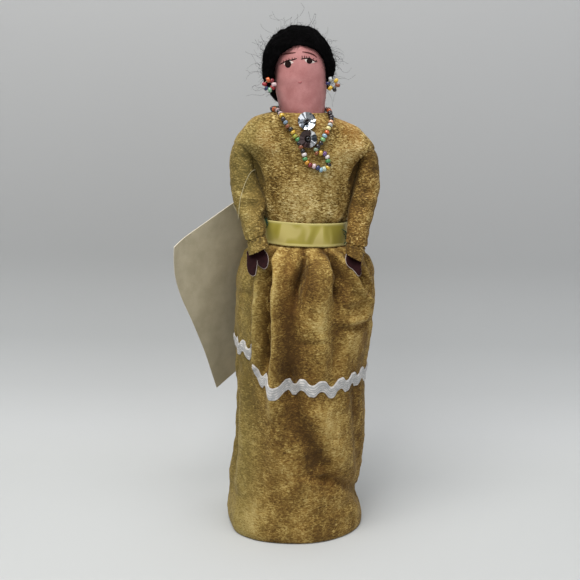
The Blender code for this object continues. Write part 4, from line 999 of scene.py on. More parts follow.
    # Tone, turn and its spread, level and its spread of each area drawn lighter or darker: where the pile lies
    # lighter or darker, and narrow painted shade and painted highlights along the folds
    pile_lie_and_painted_light: tuple = (
        (-0.9, 0.0, 0.045, 0.46, 0.1), (-0.7, 0.05, 0.04, 0.32, 0.08), (-0.5, 0.1, 0.04, 0.22, 0.05),
        (1.2, 0.085, 0.04, 0.44, 0.09), (0.9, 0.13, 0.035, 0.3, 0.07), (0.9, -0.14, 0.05, 0.25, 0.2),
        (0.5, -0.04, 0.06, 0.07, 0.08), (-2.0, -0.042, 0.02, 0.78, 0.14), (-1.0, 0.01, 0.03, 0.88, 0.06),
        (-0.8, 0.01, 0.06, 0.62, 0.04), (1.3, 0.045, 0.028, 0.77, 0.12), (0.9, 0.12, 0.04, 0.7, 0.05),
        (-1.0, 0.175, 0.02, 0.7, 0.12), (1.5, -0.07, 0.007, 0.78, 0.16), (-1.8, -0.091, 0.01, 0.79, 0.15),
        (1.3, -0.117, 0.006, 0.78, 0.13), (0.9, -0.165, 0.02, 0.76, 0.1), (-0.7, -0.2, 0.02, 0.68, 0.1),
        (-0.8, -0.16, 0.03, 0.56, 0.12), (-1.0, 0.35, 0.06, 0.6, 0.2), (0.8, -0.38, 0.08, 0.45, 0.2),
        (-0.8, 0.47, 0.06, 0.3, 0.2), (0.7, 0.25, 0.05, 0.25, 0.15), (-0.8, -0.27, 0.05, 0.7, 0.2))
    # How far past its ends a fold dies out
    fade: float = 0.10

    def tone(self, turns: np.ndarray, level: float) -> np.ndarray:
        """Return how much lighter or darker the cloth is drawn: the pile's lie, with painted shade in the folds'
        valleys and painted highlights on their ridges.

        Args:
            turns: Turns from the front.
            level: A share of the way from the hem to the belt.

        Returns:
            One value for each turn, dark below nothing and light above it.
        """
        return 1.5 * self.swell(turns, level) - 0.2 + hills(self.pile_lie_and_painted_light, turns, level)

    def swell(self, turns: np.ndarray, level: float) -> np.ndarray:
        """Return how far the folds push the cloth out, as a share of the fold depth.

        Args:
            turns: Turns from the front.
            level: A share of the way from the hem to the belt.

        Returns:
            One value for each turn.
        """
        total = np.zeros_like(turns)
        for height, half_width, path in self.fold_shares:
            levels = [place for place, _ in reversed(path)]
            middle = np.interp(level, levels, [turn for _, turn in reversed(path)])
            away = (turns - middle + 0.5) % 1.0 - 0.5
            strength = eased((level - levels[0] + self.fade) / self.fade)
            strength *= eased((levels[-1] + self.fade - level) / self.fade)
            total += height * strength * np.exp(-(away / half_width) ** 2)
        return total + hills(self.creases, turns, level)

    def gathers(self, turns: np.ndarray, level: float) -> np.ndarray:
        """Return the small pleats that the belt draws in, which die out below it.

        Args:
            turns: Turns from the front.
            level: A share of the way from the hem to the belt.

        Returns:
            How far they push the cloth out, one value for each turn.
        """
        low = math.exp(-max(0.965 - level, 0.0) / 0.05)
        high = float(np.clip((1.0 - level) / 0.035, 0.12, 1.0))
        ripple = np.sin(math.tau * 21 * turns + 1.3 * np.sin(math.tau * 4 * turns))
        ripple += 0.6 * np.sin(math.tau * 34 * turns + 2.0)
        return 0.8 * MM * low * high * ripple

    def ring(self, level: float, turns: np.ndarray, growth: float = 0.0) -> np.ndarray:
        """Return the cloth's points at one level.

        Args:
            level: A share of the way from the hem to the belt.
            turns: Turns from the front.
            growth: How far the points stand out from the cloth's face.

        Returns:
            One point for each turn.
        """
        width, depth, shift, strength = curve_through(self.ring_shares, [level])[0]
        centre = (self.half_width * shift, 0.0, self.hem + (self.top - self.hem) * level)
        swell = self.fold_depth * strength * self.swell(turns, level) + self.gathers(turns, level)
        return oval_points(centre, self.half_width * width + growth + swell, self.half_depth * depth + growth + swell,
                           turns)

    def build(self) -> Object:
        """Build the skirt, velvet outside and in, turned under at the hem and held under the belt.

        Returns:
            The skirt.
        """
        even = np.arange(self.columns) / self.columns
        # The columns stand closer together on the front
        turns = even - 0.42 * np.sin(math.tau * even) / math.tau
        levels = np.linspace(0.0, 1.0, self.rows)
        outer = [self.ring(level, turns) for level in levels]
        shades = [self.tone(turns, level) for level in levels]
        across, width, depth = self.waist
        ripple = self.gathers(turns, 1.0)
        for rise in (0.25, 0.5, 0.75, 1.0):
            height = self.top + (self.belt_top - self.top) * rise
            outer.append(oval_points((across, 0.0, height), width + ripple, depth + ripple, turns))
        centre = np.asarray((across, 0.0, self.belt_top))
        outer.append(centre + (outer[-1] - centre) * 0.97)
        inner = [oval_points((across, 0.0, height), width - self.wall, depth - self.wall, turns)
                 for height in (self.belt_top - 2 * MM, self.top + 2 * MM)]
        inner += [self.ring(level, turns, -1.6 * self.wall)
                  for level in (0.998, 0.99, 0.98, *np.linspace(0.97, 0.03, self.inner_rows))]
        for growth, drop in ((-2.6, 0.0), (-1.6, 0.25), (-0.6, 0.2)):
            inner.append(self.ring(0.0, turns, growth * MM) - np.asarray((0.0, 0.0, drop * MM)))
        grid = np.asarray(outer + inner)
        shades.extend([np.zeros_like(turns)] * (len(grid) - len(shades)))
        piece = grid_piece("skirt_cloth", grid, wrap_rows=True)
        loose = lambda point: float(np.clip(min(point.z / MM - 4, 165 - point.z / MM) / 4, 0, 1))
        crumple(piece, 0.55, 9.0, 3.0, loose)
        crumple(piece, 0.22, 3.0, 8.0, loose)
        mark(piece, shades)
        return dress(piece, self.wardrobe.skirt_velvet, "doll", ("skirt",))


@dataclass
class Rickrack(Piece):
    """Woven cotton rickrack, sewn on a wavering line round the skirt; its yarns run along the waves."""

    wave: float = 1.75 * MM
    band: float = 6.7 * MM
    thickness: float = 0.9 * MM
    steps: int = 24
    # Yarns across the braid, drawn broader than real so that they show
    yarns: int = 5
    # Turn and level of the trim's middle; it starts and ends in the pleat on the right side
    course: tuple = (
        (-0.124, 98.8), (-0.107, 95.0), (-0.089, 92.6), (-0.072, 90.6), (-0.056, 89.9), (-0.034, 90.3), (0.005, 92.2),
        (0.031, 92.1), (0.056, 91.5), (0.087, 90.4), (0.121, 91.9), (0.167, 93.2), (0.229, 93.5), (0.35, 95.0),
        (0.5, 99.0), (0.65, 104.0), (0.75, 107.6), (0.808, 108.8), (0.852, 108.4), (0.872, 109.7))
    # Turns of the crests on the front; behind they are even
    crests: tuple = (-0.123, -0.093, -0.04, 0.005, 0.059, 0.115, 0.156, 0.198, 0.243)
    last: float = 0.869
    even: int = 15

    def build(self, skirt: Object) -> Object:
        """Build the braid on the skirt's own surface, with a rounded yarn for each of its ridges.

        Args:
            skirt: The skirt's cloth.

        Returns:
            The braid.
        """
        tree = surface_of(skirt)
        crests = list(self.crests) + np.linspace(self.crests[-1], self.last, self.even)[1:].tolist()
        phases = np.arange(len(crests)) * math.tau
        turns = np.concatenate([np.linspace(start, end, self.steps, endpoint=False)
                                for start, end in zip(crests, crests[1:])] + [[self.last]])
        across = self.yarns * 4
        grid = np.zeros((len(turns), 2 * across, 3))
        shades = np.zeros((len(turns), 2 * across))
        for index, turn in enumerate(turns):
            phase = np.interp(turn, crests, phases)
            level = np.interp(turn, [place for place, _ in self.course], [level for _, level in self.course]) * MM
            rounded = math.cos(phase) - 0.09 * math.cos(3 * phase)
            wide = self.band * (0.94 + 0.10 * abs(math.sin(phase)))
            way = Vector((math.sin(math.tau * turn), -math.cos(math.tau * turn), 0))
            jig = 0.35 * MM * noise.noise(Vector((turn * 40, 3.0, 1.0)))
            middle = level + self.wave * rounded + jig
            for step in range(across):
                share = step / (across - 1) - 0.5
                height = middle + share * wide
                hit, _, _, _ = tree.ray_cast(way * 0.08 + Vector((0, 0, height)), -way)
                ridge = abs(math.sin(math.pi * self.yarns * (share + 0.5)))
                edge = 1.0 - abs(2 * share) ** 6
                lift = self.thickness * (0.35 + (0.30 + 0.35 * ridge) * edge)
                lift *= 1 + 0.25 * noise.noise(Vector((turn * 130, share * 5, 2.0)))
                grid[index, step] = hit + way * lift
                # Painted shade darkens the grooves between the yarns
                shades[index, step] = (ridge - 1.0) * edge
                grid[index, 2 * across - 1 - step] = hit + way * 0.12 * MM
        piece = grid_piece("rickrack_braid", grid)
        mark(piece, shades)
        return dress(piece, self.wardrobe.rickrack, "doll", ("rickrack_trim",))


@dataclass
class Bodice(Piece):
    """The velvet bodice over the stuffed body, with dropped shoulders and a turned edge at the neck."""

    columns: int = 208
    # Sideways place of the neck
    neck: float = -3.4 * MM
    # Height, turn and its spread, level and its reach of each fold that strains towards an armpit
    strains: tuple = (
        (-2.2, -0.188, 0.014, 208.0, 8.5), (0.5, -0.145, 0.018, 206.0, 9.0), (-0.4, -0.12, 0.016, 202.0, 8.0),
        (-2.6, 0.19, 0.014, 208.0, 8.0), (0.6, 0.15, 0.018, 206.0, 8.0), (-0.5, 0.13, 0.016, 201.0, 9.0),
        (-0.4, -0.1, 0.03, 186.0, 4.0), (0.4, 0.06, 0.06, 184.0, 3.0), (-0.35, 0.11, 0.03, 187.0, 4.0),
        (-0.4, 0.36, 0.03, 206.0, 9.0), (-0.4, -0.36, 0.03, 206.0, 9.0), (0.4, 0.42, 0.04, 195.0, 9.0),
        (0.4, -0.42, 0.04, 195.0, 9.0))
    # Level, reach to the right and to the left, and half depth, all in millimetres
    rings: tuple = (
        (166.2, 21.2, 23.2, 15.2), (178.9, 21.6, 23.6, 15.6), (181.0, 22.2, 25.6, 16.0), (184.0, 23.0, 26.2, 16.4),
        (190.0, 23.9, 26.8, 17.0), (199.0, 25.6, 27.9, 17.4), (205.0, 27.2, 29.0, 17.5), (210.0, 28.8, 30.4, 17.4),
        (213.0, 30.8, 32.8, 17.3), (215.5, 33.4, 35.6, 17.2), (218.0, 37.2, 37.5, 17.1), (219.8, 38.3, 37.0, 17.0),
        (221.0, 37.9, 36.2, 16.9), (225.3, 35.1, 32.0, 16.6), (229.0, 32.2, 28.0, 16.2), (231.4, 29.8, 22.8, 15.9),
        (233.8, 26.2, 15.8, 15.4), (235.4, 21.2, 12.4, 15.0), (236.0, 18.6, 11.9, 14.8))
    # Tone, turn and its spread, level and its spread of each area drawn lighter or darker: where the pile lies
    # lighter or darker, painted highlights on the shoulders, and painted shade in the armpits and along the sleeves'
    # inner edges
    pile_lie_and_painted_light: tuple = (
        (0.9, 0.0, 0.13, 188.0, 12.0), (0.8, 0.145, 0.045, 219.0, 4.0), (1.0, 0.09, 0.035, 214.0, 7.0),
        (0.9, -0.2, 0.05, 219.0, 4.0), (-1.6, -0.17, 0.03, 209.0, 9.0), (-1.9, 0.175, 0.028, 207.0, 9.0),
        (-1.0, 0.13, 0.05, 227.0, 4.0), (-0.8, -0.07, 0.05, 206.0, 7.0), (-0.9, -0.12, 0.03, 192.0, 10.0),
        (-0.8, 0.13, 0.03, 190.0, 10.0), (0.8, -0.11, 0.03, 225.0, 4.0), (-2.2, -0.195, 0.022, 196.0, 16.0),
        (-2.2, 0.195, 0.022, 196.0, 16.0))

    def grid(self) -> tuple[np.ndarray, np.ndarray]:
        """Return the outer surface.

        Returns:
            Its grid of points and its shades.
        """
        turns = np.arange(self.columns) / self.columns
        levels = np.concatenate((np.linspace(166.2, 205.0, 54), np.linspace(205.6, 236.0, 62)))
        points, shades = [], []
        for level, (right, left, depth) in zip(levels, curve_through(self.rings, levels)):
            swell = self.folds(turns, level)
            centre = ((left - right) / 2, 0.0, level)
            points.append(oval_points(centre, (left + right) / 2 + swell, depth + swell, turns) * MM)
            # The folds' swell is also their painted shade, dark in the valleys and light on the ridges
            shades.append(swell + hills(self.pile_lie_and_painted_light, turns, level))
        return np.asarray(points), np.asarray(shades)

    def folds(self, turns: np.ndarray, level: float) -> np.ndarray:
        """Return the cloth's folds, drawn in at the belt and strained towards the armpits.

        Args:
            turns: Turns from the front.
            level: The level, in millimetres.

        Returns:
            How far they push the cloth out, in millimetres.
        """
        gathered = 0.40 * math.exp(-((level - 179.0) / 5.0) ** 2)
        swell = gathered * np.sin(math.tau * 17 * turns + 1.1 * np.sin(math.tau * 3 * turns))
        for height, turn, spread, place, reach in self.strains:
            away = (turns - turn + 0.5) % 1.0 - 0.5
            slanted = away - 0.0022 * (level - place) * np.sign(turn)
            swell += height * np.exp(-(slanted / spread) ** 2 - ((level - place) / reach) ** 2)
        # The seam behind
        return swell - 0.55 * np.exp(-((turns - 0.5) / 0.006) ** 2)

    def build(self) -> Object:
        """Build the bodice, closed under the belt and tucked in along the neck.

        Returns:
            The bodice.
        """
        outer, shades = self.grid()
        centre = np.asarray((self.neck, 0.0, 0.0))
        top = outer[-1]
        rim = []
        for inset, drop in ((0.25, -0.25), (0.75, -0.3), (1.15, 0.4), (1.3, 4.0)):
            flat = top - centre
            flat[:, 2] = 0.0
            length = np.linalg.norm(flat, axis=1, keepdims=True)
            ring = centre + flat * (1 - inset * MM / length)
            ring[:, 2] = top[:, 2] - drop * MM
            rim.append(ring)
        grid = np.concatenate((outer, np.asarray(rim)))
        piece = grid_piece("bodice_cloth", grid)
        shade = np.zeros(grid.shape[:2])
        shade[:len(shades)] = shades
        quiet = lambda point: float(np.clip((235.0 * MM - point.z) / (3 * MM), 0, 1))
        crumple(piece, 0.40, 10.0, 5.0, quiet)
        crumple(piece, 0.15, 3.0, 2.0, quiet)
        mark(piece, shade)
        dress(piece, self.wardrobe.velvet, "doll", ("bodice",))
        return piece


# Level, outer and inner reach, half depth and forward reach in millimetres, and share of the cuff's tilt
SLEEVE_RINGS = {
    Side.RIGHT: (
        (165.0, 29.2, 17.4, 4.0, 22.2, 1.0), (168.5, 29.7, 18.6, 4.1, 20.3, 0.95),
        (171.1, 30.2, 19.8, 4.2, 18.6, 0.85), (174.5, 32.0, 19.9, 5.0, 16.2, 0.62),
        (178.5, 33.7, 20.9, 5.8, 13.4, 0.45), (182.2, 35.1, 20.7, 6.4, 11.0, 0.3),
        (186.5, 36.6, 20.0, 7.0, 8.6, 0.18), (190.3, 38.0, 20.5, 7.4, 6.8, 0.1), (194.0, 38.8, 22.2, 7.7, 5.0, 0.05),
        (200.0, 39.8, 24.7, 8.0, 2.7, 0.0), (205.0, 40.3, 26.2, 8.2, 1.4, 0.0), (210.5, 40.3, 26.9, 8.3, 0.4, 0.0),
        (215.5, 39.6, 26.8, 8.1, 0.1, 0.0), (219.0, 38.0, 26.0, 7.5, 0.0, 0.0), (222.5, 35.4, 25.0, 6.4, -0.2, 0.0),
        (225.0, 32.4, 24.5, 4.8, -0.4, 0.0)),
    Side.LEFT: (
        (162.2, 32.0, 22.3, 3.9, 22.2, 1.0), (164.6, 32.3, 22.5, 4.0, 21.0, 0.8), (166.4, 32.6, 22.7, 4.2, 20.2, 0.6),
        (169.5, 33.8, 22.9, 4.8, 18.4, 0.45), (175.0, 35.0, 23.2, 5.4, 15.2, 0.35),
        (181.0, 37.0, 23.3, 6.2, 11.7, 0.25), (186.0, 37.9, 24.0, 6.9, 8.9, 0.18), (190.0, 39.3, 25.3, 7.3, 7.0, 0.1),
        (196.0, 40.6, 25.9, 7.8, 4.1, 0.05), (201.0, 40.6, 26.8, 8.0, 2.4, 0.0), (206.0, 40.7, 28.0, 8.2, 1.1, 0.0),
        (210.0, 40.2, 28.5, 8.2, 0.5, 0.0), (214.0, 39.0, 28.0, 8.0, 0.1, 0.0), (218.0, 37.0, 26.5, 7.4, 0.0, 0.0),
        (221.5, 34.2, 25.0, 6.2, -0.2, 0.0), (224.0, 31.2, 24.0, 4.8, -0.4, 0.0)),
}
# How far the cuffs and the hands lean from upright
CUFF_TILT = math.radians(26.0)


@dataclass
class Sleeve(Piece):
    """One velvet sleeve over its wadding, sewn under the shoulder and hemmed by hand at the wrist."""

    side: Side
    columns: int = 88
    rows: int = 110
    hem: float = 6.2
    # How much painted shade darkens the whole sleeve
    shade: float = 1.0
    pivot: float = 33.0 * MM
    # Height, turn and its spread, level and its spread of each fold, inside the elbow and above the hem
    creases: tuple = (
        (-0.9, 0.0, 0.1, 196.0, 2.6), (0.6, 0.04, 0.1, 192.5, 2.0), (-0.8, -0.03, 0.09, 188.0, 2.0),
        (0.6, 0.02, 0.11, 183.5, 2.4), (-0.6, 0.2, 0.1, 178.5, 2.6), (-0.7, -0.2, 0.09, 181.5, 3.0),
        (-0.5, 0.45, 0.12, 191.5, 3.0), (-0.5, 0.1, 0.08, 207.0, 3.0), (-0.6, -0.08, 0.07, 212.0, 2.6))

    @property
    def end(self) -> float:
        """The level of the cuff's end, in millimetres."""
        return SLEEVE_RINGS[self.side][0][0]

    @property
    def top(self) -> float:
        """The level of the shoulder, in millimetres."""
        return SLEEVE_RINGS[self.side][-1][0]

    def section(self, level: float, turns: np.ndarray, growth: float = 0.0) -> np.ndarray:
        """Return the sleeve's points round one section.

        Args:
            level: The section's level, in millimetres.
            turns: Turns from its front.
            growth: How far the points stand out from the cloth's face.

        Returns:
            One point for each turn.
        """
        outer, inner, depth, forward, lean = curve_through(SLEEVE_RINGS[self.side], [level])[0]
        sign = self.side.value
        centre = np.asarray((sign * (outer + inner) / 2, -forward, level)) * MM
        flat = oval_points((0, 0, 0), (outer - inner) / 2 * MM + growth, depth * MM + growth, turns)
        angle = sign * CUFF_TILT * lean
        turned = np.stack((flat[:, 0] * math.cos(angle), flat[:, 1], -flat[:, 0] * math.sin(angle)), axis=-1)
        return centre + turned

    def folds(self, turns: np.ndarray, level: float) -> np.ndarray:
        """Return soft folds inside the elbow and above the hem.

        Args:
            turns: Turns from the section's front.
            level: The level, in millimetres.

        Returns:
            Shares of their depth, one for each turn.
        """
        gathered = 0.35 * math.exp(-((level - self.end - self.hem - 1.2) / 1.8) ** 2)
        groove = -0.75 * math.exp(-((level - self.end - self.hem) / 0.35) ** 2)
        creased = hills(self.creases, turns * self.side.value, level)
        return creased + gathered * np.sin(math.tau * 9 * turns + 0.7) + groove

    def build(self) -> Object:
        """Build the sleeve with its turned hem, open at the wrist round the hand.

        Returns:
            The sleeve.
        """
        turns = np.arange(self.columns) / self.columns
        hem_top = self.end + self.hem
        levels = np.concatenate((np.linspace(self.top, hem_top + 1.5, self.rows),
                                 np.linspace(hem_top + 1.2, self.end, 22)))
        place = (turns * self.side.value + 0.5) % 1.0 - 0.5
        outer, shades = [], []
        for level in levels:
            fold = self.folds(turns, level)
            ring = self.section(level, turns)
            away = ring - ring.mean(axis=0)
            outer.append(ring + away / np.linalg.norm(away, axis=1, keepdims=True) * fold[:, None] * 1.2 * MM)
            # Painted shade: the folds, the whole sleeve by its shade, a dark band along its inner edge where it meets
            # the bodice, and a painted highlight along its outer front
            shades.append(fold - self.shade - 1.6 * np.exp(-((place + 0.23) / 0.07) ** 2)
                          + 0.4 * np.exp(-((place - 0.12) / 0.08) ** 2))
        fray = 0.22 * MM * np.sin(math.tau * 23 * turns) + 0.15 * MM * np.sin(math.tau * 37 * turns + 1.0)
        outer[-1][:, 2] += fray
        inner = [self.section(self.end + rise, turns, growth * MM) for rise, growth in
                 ((0.05, -0.5), (0.6, -0.9), (3.4, -1.0), (5.5, -1.3))]
        inner[0][:, 2] += fray
        # Painted shade inside the turned hem
        shades.extend([np.full_like(turns, -1.5)] * len(inner))
        piece = grid_piece(f"sleeve_cloth_{self.side.word}", outer + inner)
        seed = 11.0 + self.side.value
        upper = lambda point: 1.0 if point.z > hem_top * MM else 0.25
        crumple(piece, 0.5, 8.0, seed, upper)
        crumple(piece, 0.14, 2.6, seed + 4, upper)
        mark(piece, shades)
        dress(piece, self.wardrobe.velvet, None, (f"sleeve_{self.side.word}",))
        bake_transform(piece)
        return piece

    def wadding(self) -> Object:
        """Fill the sleeve with its muslin arm, which stops above the wrist and rounds off at the shoulder.

        Returns:
            The arm.
        """
        turns = np.arange(32) / 32
        levels = np.linspace(self.end + 8.0, self.top - 4.0, 30)
        rows = []
        for number, level in enumerate(levels):
            tucked = math.sqrt(max(1 - (number / (len(levels) - 1)) ** 8, 0.02))
            ring = self.section(level, turns, -1.8 * MM)
            rows.append(ring.mean(axis=0) + (ring - ring.mean(axis=0)) * tucked)
        word = self.side.word
        piece = grid_piece(f"arm_muslin_{word}", rows)
        return dress(piece, self.wardrobe.muslin, f"{word}_arm", (f"arm_stuffing_{word}",))

    def stitch(self, tree: Tree) -> Object:
        """Sew the hem: a running stitch round the wrist in dark thread.

        Args:
            tree: The stitch tree.

        Returns:
            The stitches.
        """
        count = 96
        ring = self.section(self.end + self.hem - 0.5, np.arange(count) / count, 0.05 * MM)
        mesh = bpy.data.meshes.new(f"cuff_stitches_{self.side.word}")
        mesh.from_pydata(ring.tolist(), [(index, (index + 1) % count) for index in range(count)], [])
        thread = self.wardrobe.dark_thread
        piece = grown(object_of(mesh.name, mesh), tree, Pitch=2.3 * MM, Length=1.5 * MM, Radius=0.22 * MM,
                      Seed=4 + self.side.value, Finish=thread)
        return dress(piece, thread, f"{self.side.word}_arm")


# Each hand's cut outline, across and down from its wrist, in millimetres
HAND_OUTLINES = {
    Side.RIGHT: (
        (-3.6, -4.5), (-4.2, -2.5), (-5.1, -0.4), (-6.2, 2.4), (-6.8, 5.6), (-6.4, 7.7), (-5.2, 8.9), (-4.1, 8.6),
        (-3.2, 7.2), (-1.6, 4.6), (-0.3, 2.0), (0.1, 2.1), (-0.4, 4.6), (0.4, 6.5), (1.6, 8.0), (3.2, 7.5),
        (4.5, 5.9), (5.5, 3.6), (5.7, 1.2), (5.2, -1.5), (4.3, -4.5)),
    Side.LEFT: (
        (-3.8, -4.5), (-4.8, -2.5), (-5.2, -0.9), (-4.2, 2.6), (-2.7, 4.6), (-0.7, 5.5), (0.8, 5.7), (2.7, 6.5),
        (5.1, 7.6), (5.9, 7.0), (5.4, 4.8), (4.0, 1.9), (3.4, -1.6), (3.3, -4.5)),
}


@dataclass
class Hand(Piece):
    """One flat mitten hand, scissor-cut from leatherette, its cloth backing pale along the cut edge."""

    side: Side
    thickness: float = 1.2 * MM
    rounding: float = 0.25 * MM
    lean: float = math.radians(27.0)

    def build(self) -> Object:
        """Cut the hand and set it in its cuff.

        Returns:
            The hand.
        """
        sign, word = self.side.value, self.side.word
        curve = bpy.data.curves.new(f"hand_{word}_cut", "CURVE")
        curve.dimensions = "2D"
        curve.fill_mode = "BOTH"
        curve.extrude = self.thickness / 2 - self.rounding
        curve.bevel_depth = self.rounding
        curve.bevel_resolution = 1
        points = even_route([Vector((across * MM, -down * MM, 0)) for across, down in HAND_OUTLINES[self.side]], 110)
        spline = curve.splines.new("POLY")
        spline.points.add(len(points) - 1)
        for knot, point in zip(spline.points, points):
            knot.co = (point.x, point.y, 0, 1)
        spline.use_cyclic_u = True
        piece = plain_mesh(object_of(f"hand_cut_{word}", curve))
        mesh = piece.data
        surface = bmesh.new()
        surface.from_mesh(mesh)
        bmesh.ops.remove_doubles(surface, verts=surface.verts, dist=MERGE)
        bmesh.ops.recalc_face_normals(surface, faces=surface.faces)
        surface.to_mesh(mesh)
        surface.free()
        mesh.materials.clear()
        mesh.materials.append(self.wardrobe.leather)
        mesh.materials.append(self.wardrobe.cut_edge)
        for face in mesh.polygons:
            face.material_index = 0 if abs(face.normal.z) > 0.9 else 1
        # Both hands have curled a little
        for vertex in mesh.vertices:
            vertex.co.z += 0.5 * MM * (vertex.co.y / (12 * MM)) ** 2 + 0.3 * MM * math.sin(vertex.co.x / (3 * MM))
        inset = 8.4 if self.side == Side.RIGHT else 5.4
        wrist = Matrix.Translation((sign * (33.0 - inset) * MM, -22.5 * MM, 161.7 * MM))
        turned = wrist @ Matrix.Rotation(sign * CUFF_TILT, 4, "Y") @ Matrix.Rotation(-self.lean, 4, "X")
        mesh.transform(turned @ Matrix.Rotation(math.radians(90), 4, "X"))
        return dress(piece, self.wardrobe.leather, f"{word}_hand", (f"hand_{word}",))


@dataclass
class Belt(Piece):
    """The satin ribbon round the waist, laid flat over the gathers and tacked with green thread."""

    width: float = 12.7 * MM
    level: float = 172.5 * MM
    half_width: float = 23.8 * MM
    half_depth: float = 17.0 * MM
    shift: float = 1.0 * MM
    columns: int = 240
    flat: tuple[float, float] = (0.0132, 0.142)
    # Height across the ribbon, how much of it is selvedge, and how far it is raised in millimetres
    profile: tuple = (
        (-0.5, 1.0, 0.05), (-0.47, 1.0, 0.16), (-0.44, 1.0, 0.16), (-0.4, 0.8, 0.04), (-0.36, 0.0, 0.0),
        (-0.24, 0.0, 0.0), (-0.12, 0.0, 0.0), (0.0, 0.0, 0.0), (0.12, 0.0, 0.0), (0.24, 0.0, 0.0), (0.36, 0.0, 0.0),
        (0.42, 0.3, 0.0), (0.46, 1.0, 0.1), (0.48, 1.0, 0.1), (0.5, 1.0, 0.05))
    # Side, turn and the height of each turn of thread, of the two tacks that show
    tacked: tuple = (("right", -0.187, (0.50, 0.40, 0.46, 0.28)), ("left", 0.148, (0.1, -0.1, 0.0, -0.3)))

    def ring(self, height: float, growth: float, turns: np.ndarray) -> np.ndarray:
        """Return the ribbon's points at one height.

        Args:
            height: The height across the ribbon, from -0.5 to 0.5.
            growth: How far the points stand out, in millimetres.
            turns: Turns from the front.

        Returns:
            One point for each turn.
        """
        wave = 0.22 * MM * np.sin(math.tau * 7 * turns + 4 * height) + 0.12 * MM * np.sin(math.tau * 13 * turns + 1)
        bow = 0.30 * MM * (1 - (2 * height) ** 2)
        out = growth * MM
        points = oval_points((self.shift, 0.0, self.level + height * self.width),
                             self.half_width + out + wave + bow, self.half_depth + out + wave + bow, turns)
        points[:, 2] += 0.5 * MM * np.sin(math.tau * turns + 2.6)
        return points

    def build(self) -> Object:
        """Build the ribbon with its two slightly raised selvedges.

        Returns:
            The ribbon.
        """
        turns = np.arange(self.columns) / self.columns
        rows = [self.ring(height, 0.15 + lift, turns) for height, _, lift in self.profile]
        rows += [self.ring(height, -0.12, turns) for height, _, _ in reversed(self.profile)]
        shades = np.zeros((len(rows), self.columns))
        for row, (_, edge, _) in enumerate(self.profile):
            shades[row] = edge
        piece = grid_piece("ribbon_belt", rows, wrap_rows=True)
        mark(piece, shades)
        dress(piece, self.wardrobe.ribbon, "doll", ("belt",))
        return piece

    def tacks(self) -> None:
        """Sew the ribbon's two visible tacks: a few turns of green thread at each side."""
        for word, turn, heights in self.tacked:
            for number, height in enumerate(heights):
                stations = ((0.14, 0.45, 0.012 * number), (0.02, 0.75, 0.02 + 0.006 * number),
                            (-0.12, 0.4, 0.034 - 0.004 * number))
                route = even_route([Vector(self.ring(height + rise, growth, np.asarray([turn + shift]))[0])
                                    for rise, growth, shift in stations], 10)
                tack = tube(f"belt_tack_{word}_{number + 1}", route, [0.2 * MM] * len(route))
                dress(tack, self.wardrobe.green_thread, "doll")


# The head and hair


def joined(name: str, pieces: Sequence[Object]) -> Object:
    """Join plain meshes into one smooth object.

    Args:
        name: The object's name.
        pieces: The objects, which it takes the place of.

    Returns:
        The object.
    """
    surface = bmesh.new()
    for piece in pieces:
        surface.from_mesh(piece.data)
        bpy.data.objects.remove(piece, do_unlink=True)
    whole = mesh_of(name, surface)
    whole.data.shade_smooth()
    return whole


def on_front(tree: BVHTree, x: float, z: float, lift: float) -> Vector:
    """Return the point of a surface that is seen from the front at a place.

    Args:
        tree: The surface.
        x: Sideways place, in metres.
        z: Level, in metres.
        lift: How far the point stands off the surface, in metres.

    Returns:
        The point.
    """
    hit, normal, _, _ = tree.ray_cast(Vector((x, IN_FRONT, z)), Vector((0, 1, 0)))
    if hit is None:
        hit, normal, _, _ = tree.find_nearest(Vector((x, IN_FRONT / 4, z)))
    return hit + normal * lift


def paint_patch(name: str, tree: BVHTree, outline: Sequence[Sequence[float]], lift: float) -> Object:
    """Lay a thin coat of paint on the head.

    Args:
        name: The object's name.
        tree: The head's surface.
        outline: Sideways place and level of the patch's outline, in millimetres.
        lift: The coat's thickness, in metres.

    Returns:
        A closed, thin piece.
    """
    ring = even_route([Vector((x * MM, 0, z * MM)) for x, z in outline], 40, closed=True)
    centre = sum(ring, Vector()) / len(ring)
    rows = []
    for share, height in ((0.02, 1), (0.4, 1), (0.75, 1), (0.95, 0.9), (1.0, 0.2), (1.0, -1), (0.02, -1)):
        places = [centre.lerp(point, share) for point in ring]
        rows.append([on_front(tree, place.x, place.z, height * lift) for place in places])
    return grid_piece(name, rows)


def paint_stroke(name: str, tree: BVHTree, line: Sequence[Sequence[float]], radius: float) -> Object:
    """Draw one brush stroke on the head, thinner towards its ends.

    Args:
        name: The object's name.
        tree: The head's surface.
        line: Sideways places and levels along it, in millimetres.
        radius: Half its width, in metres.

    Returns:
        The stroke.
    """
    count = 24
    route = even_route([Vector((x * MM, 0, z * MM)) for x, z in line], count)
    laid = [on_front(tree, place.x, place.z, 0.05 * MM) for place in route]
    radii = [radius * (0.45 + 0.55 * math.sin(math.pi * (0.08 + 0.84 * step / (count - 1)))) for step in range(count)]
    return tube(name, laid, radii, flatten=0.5)


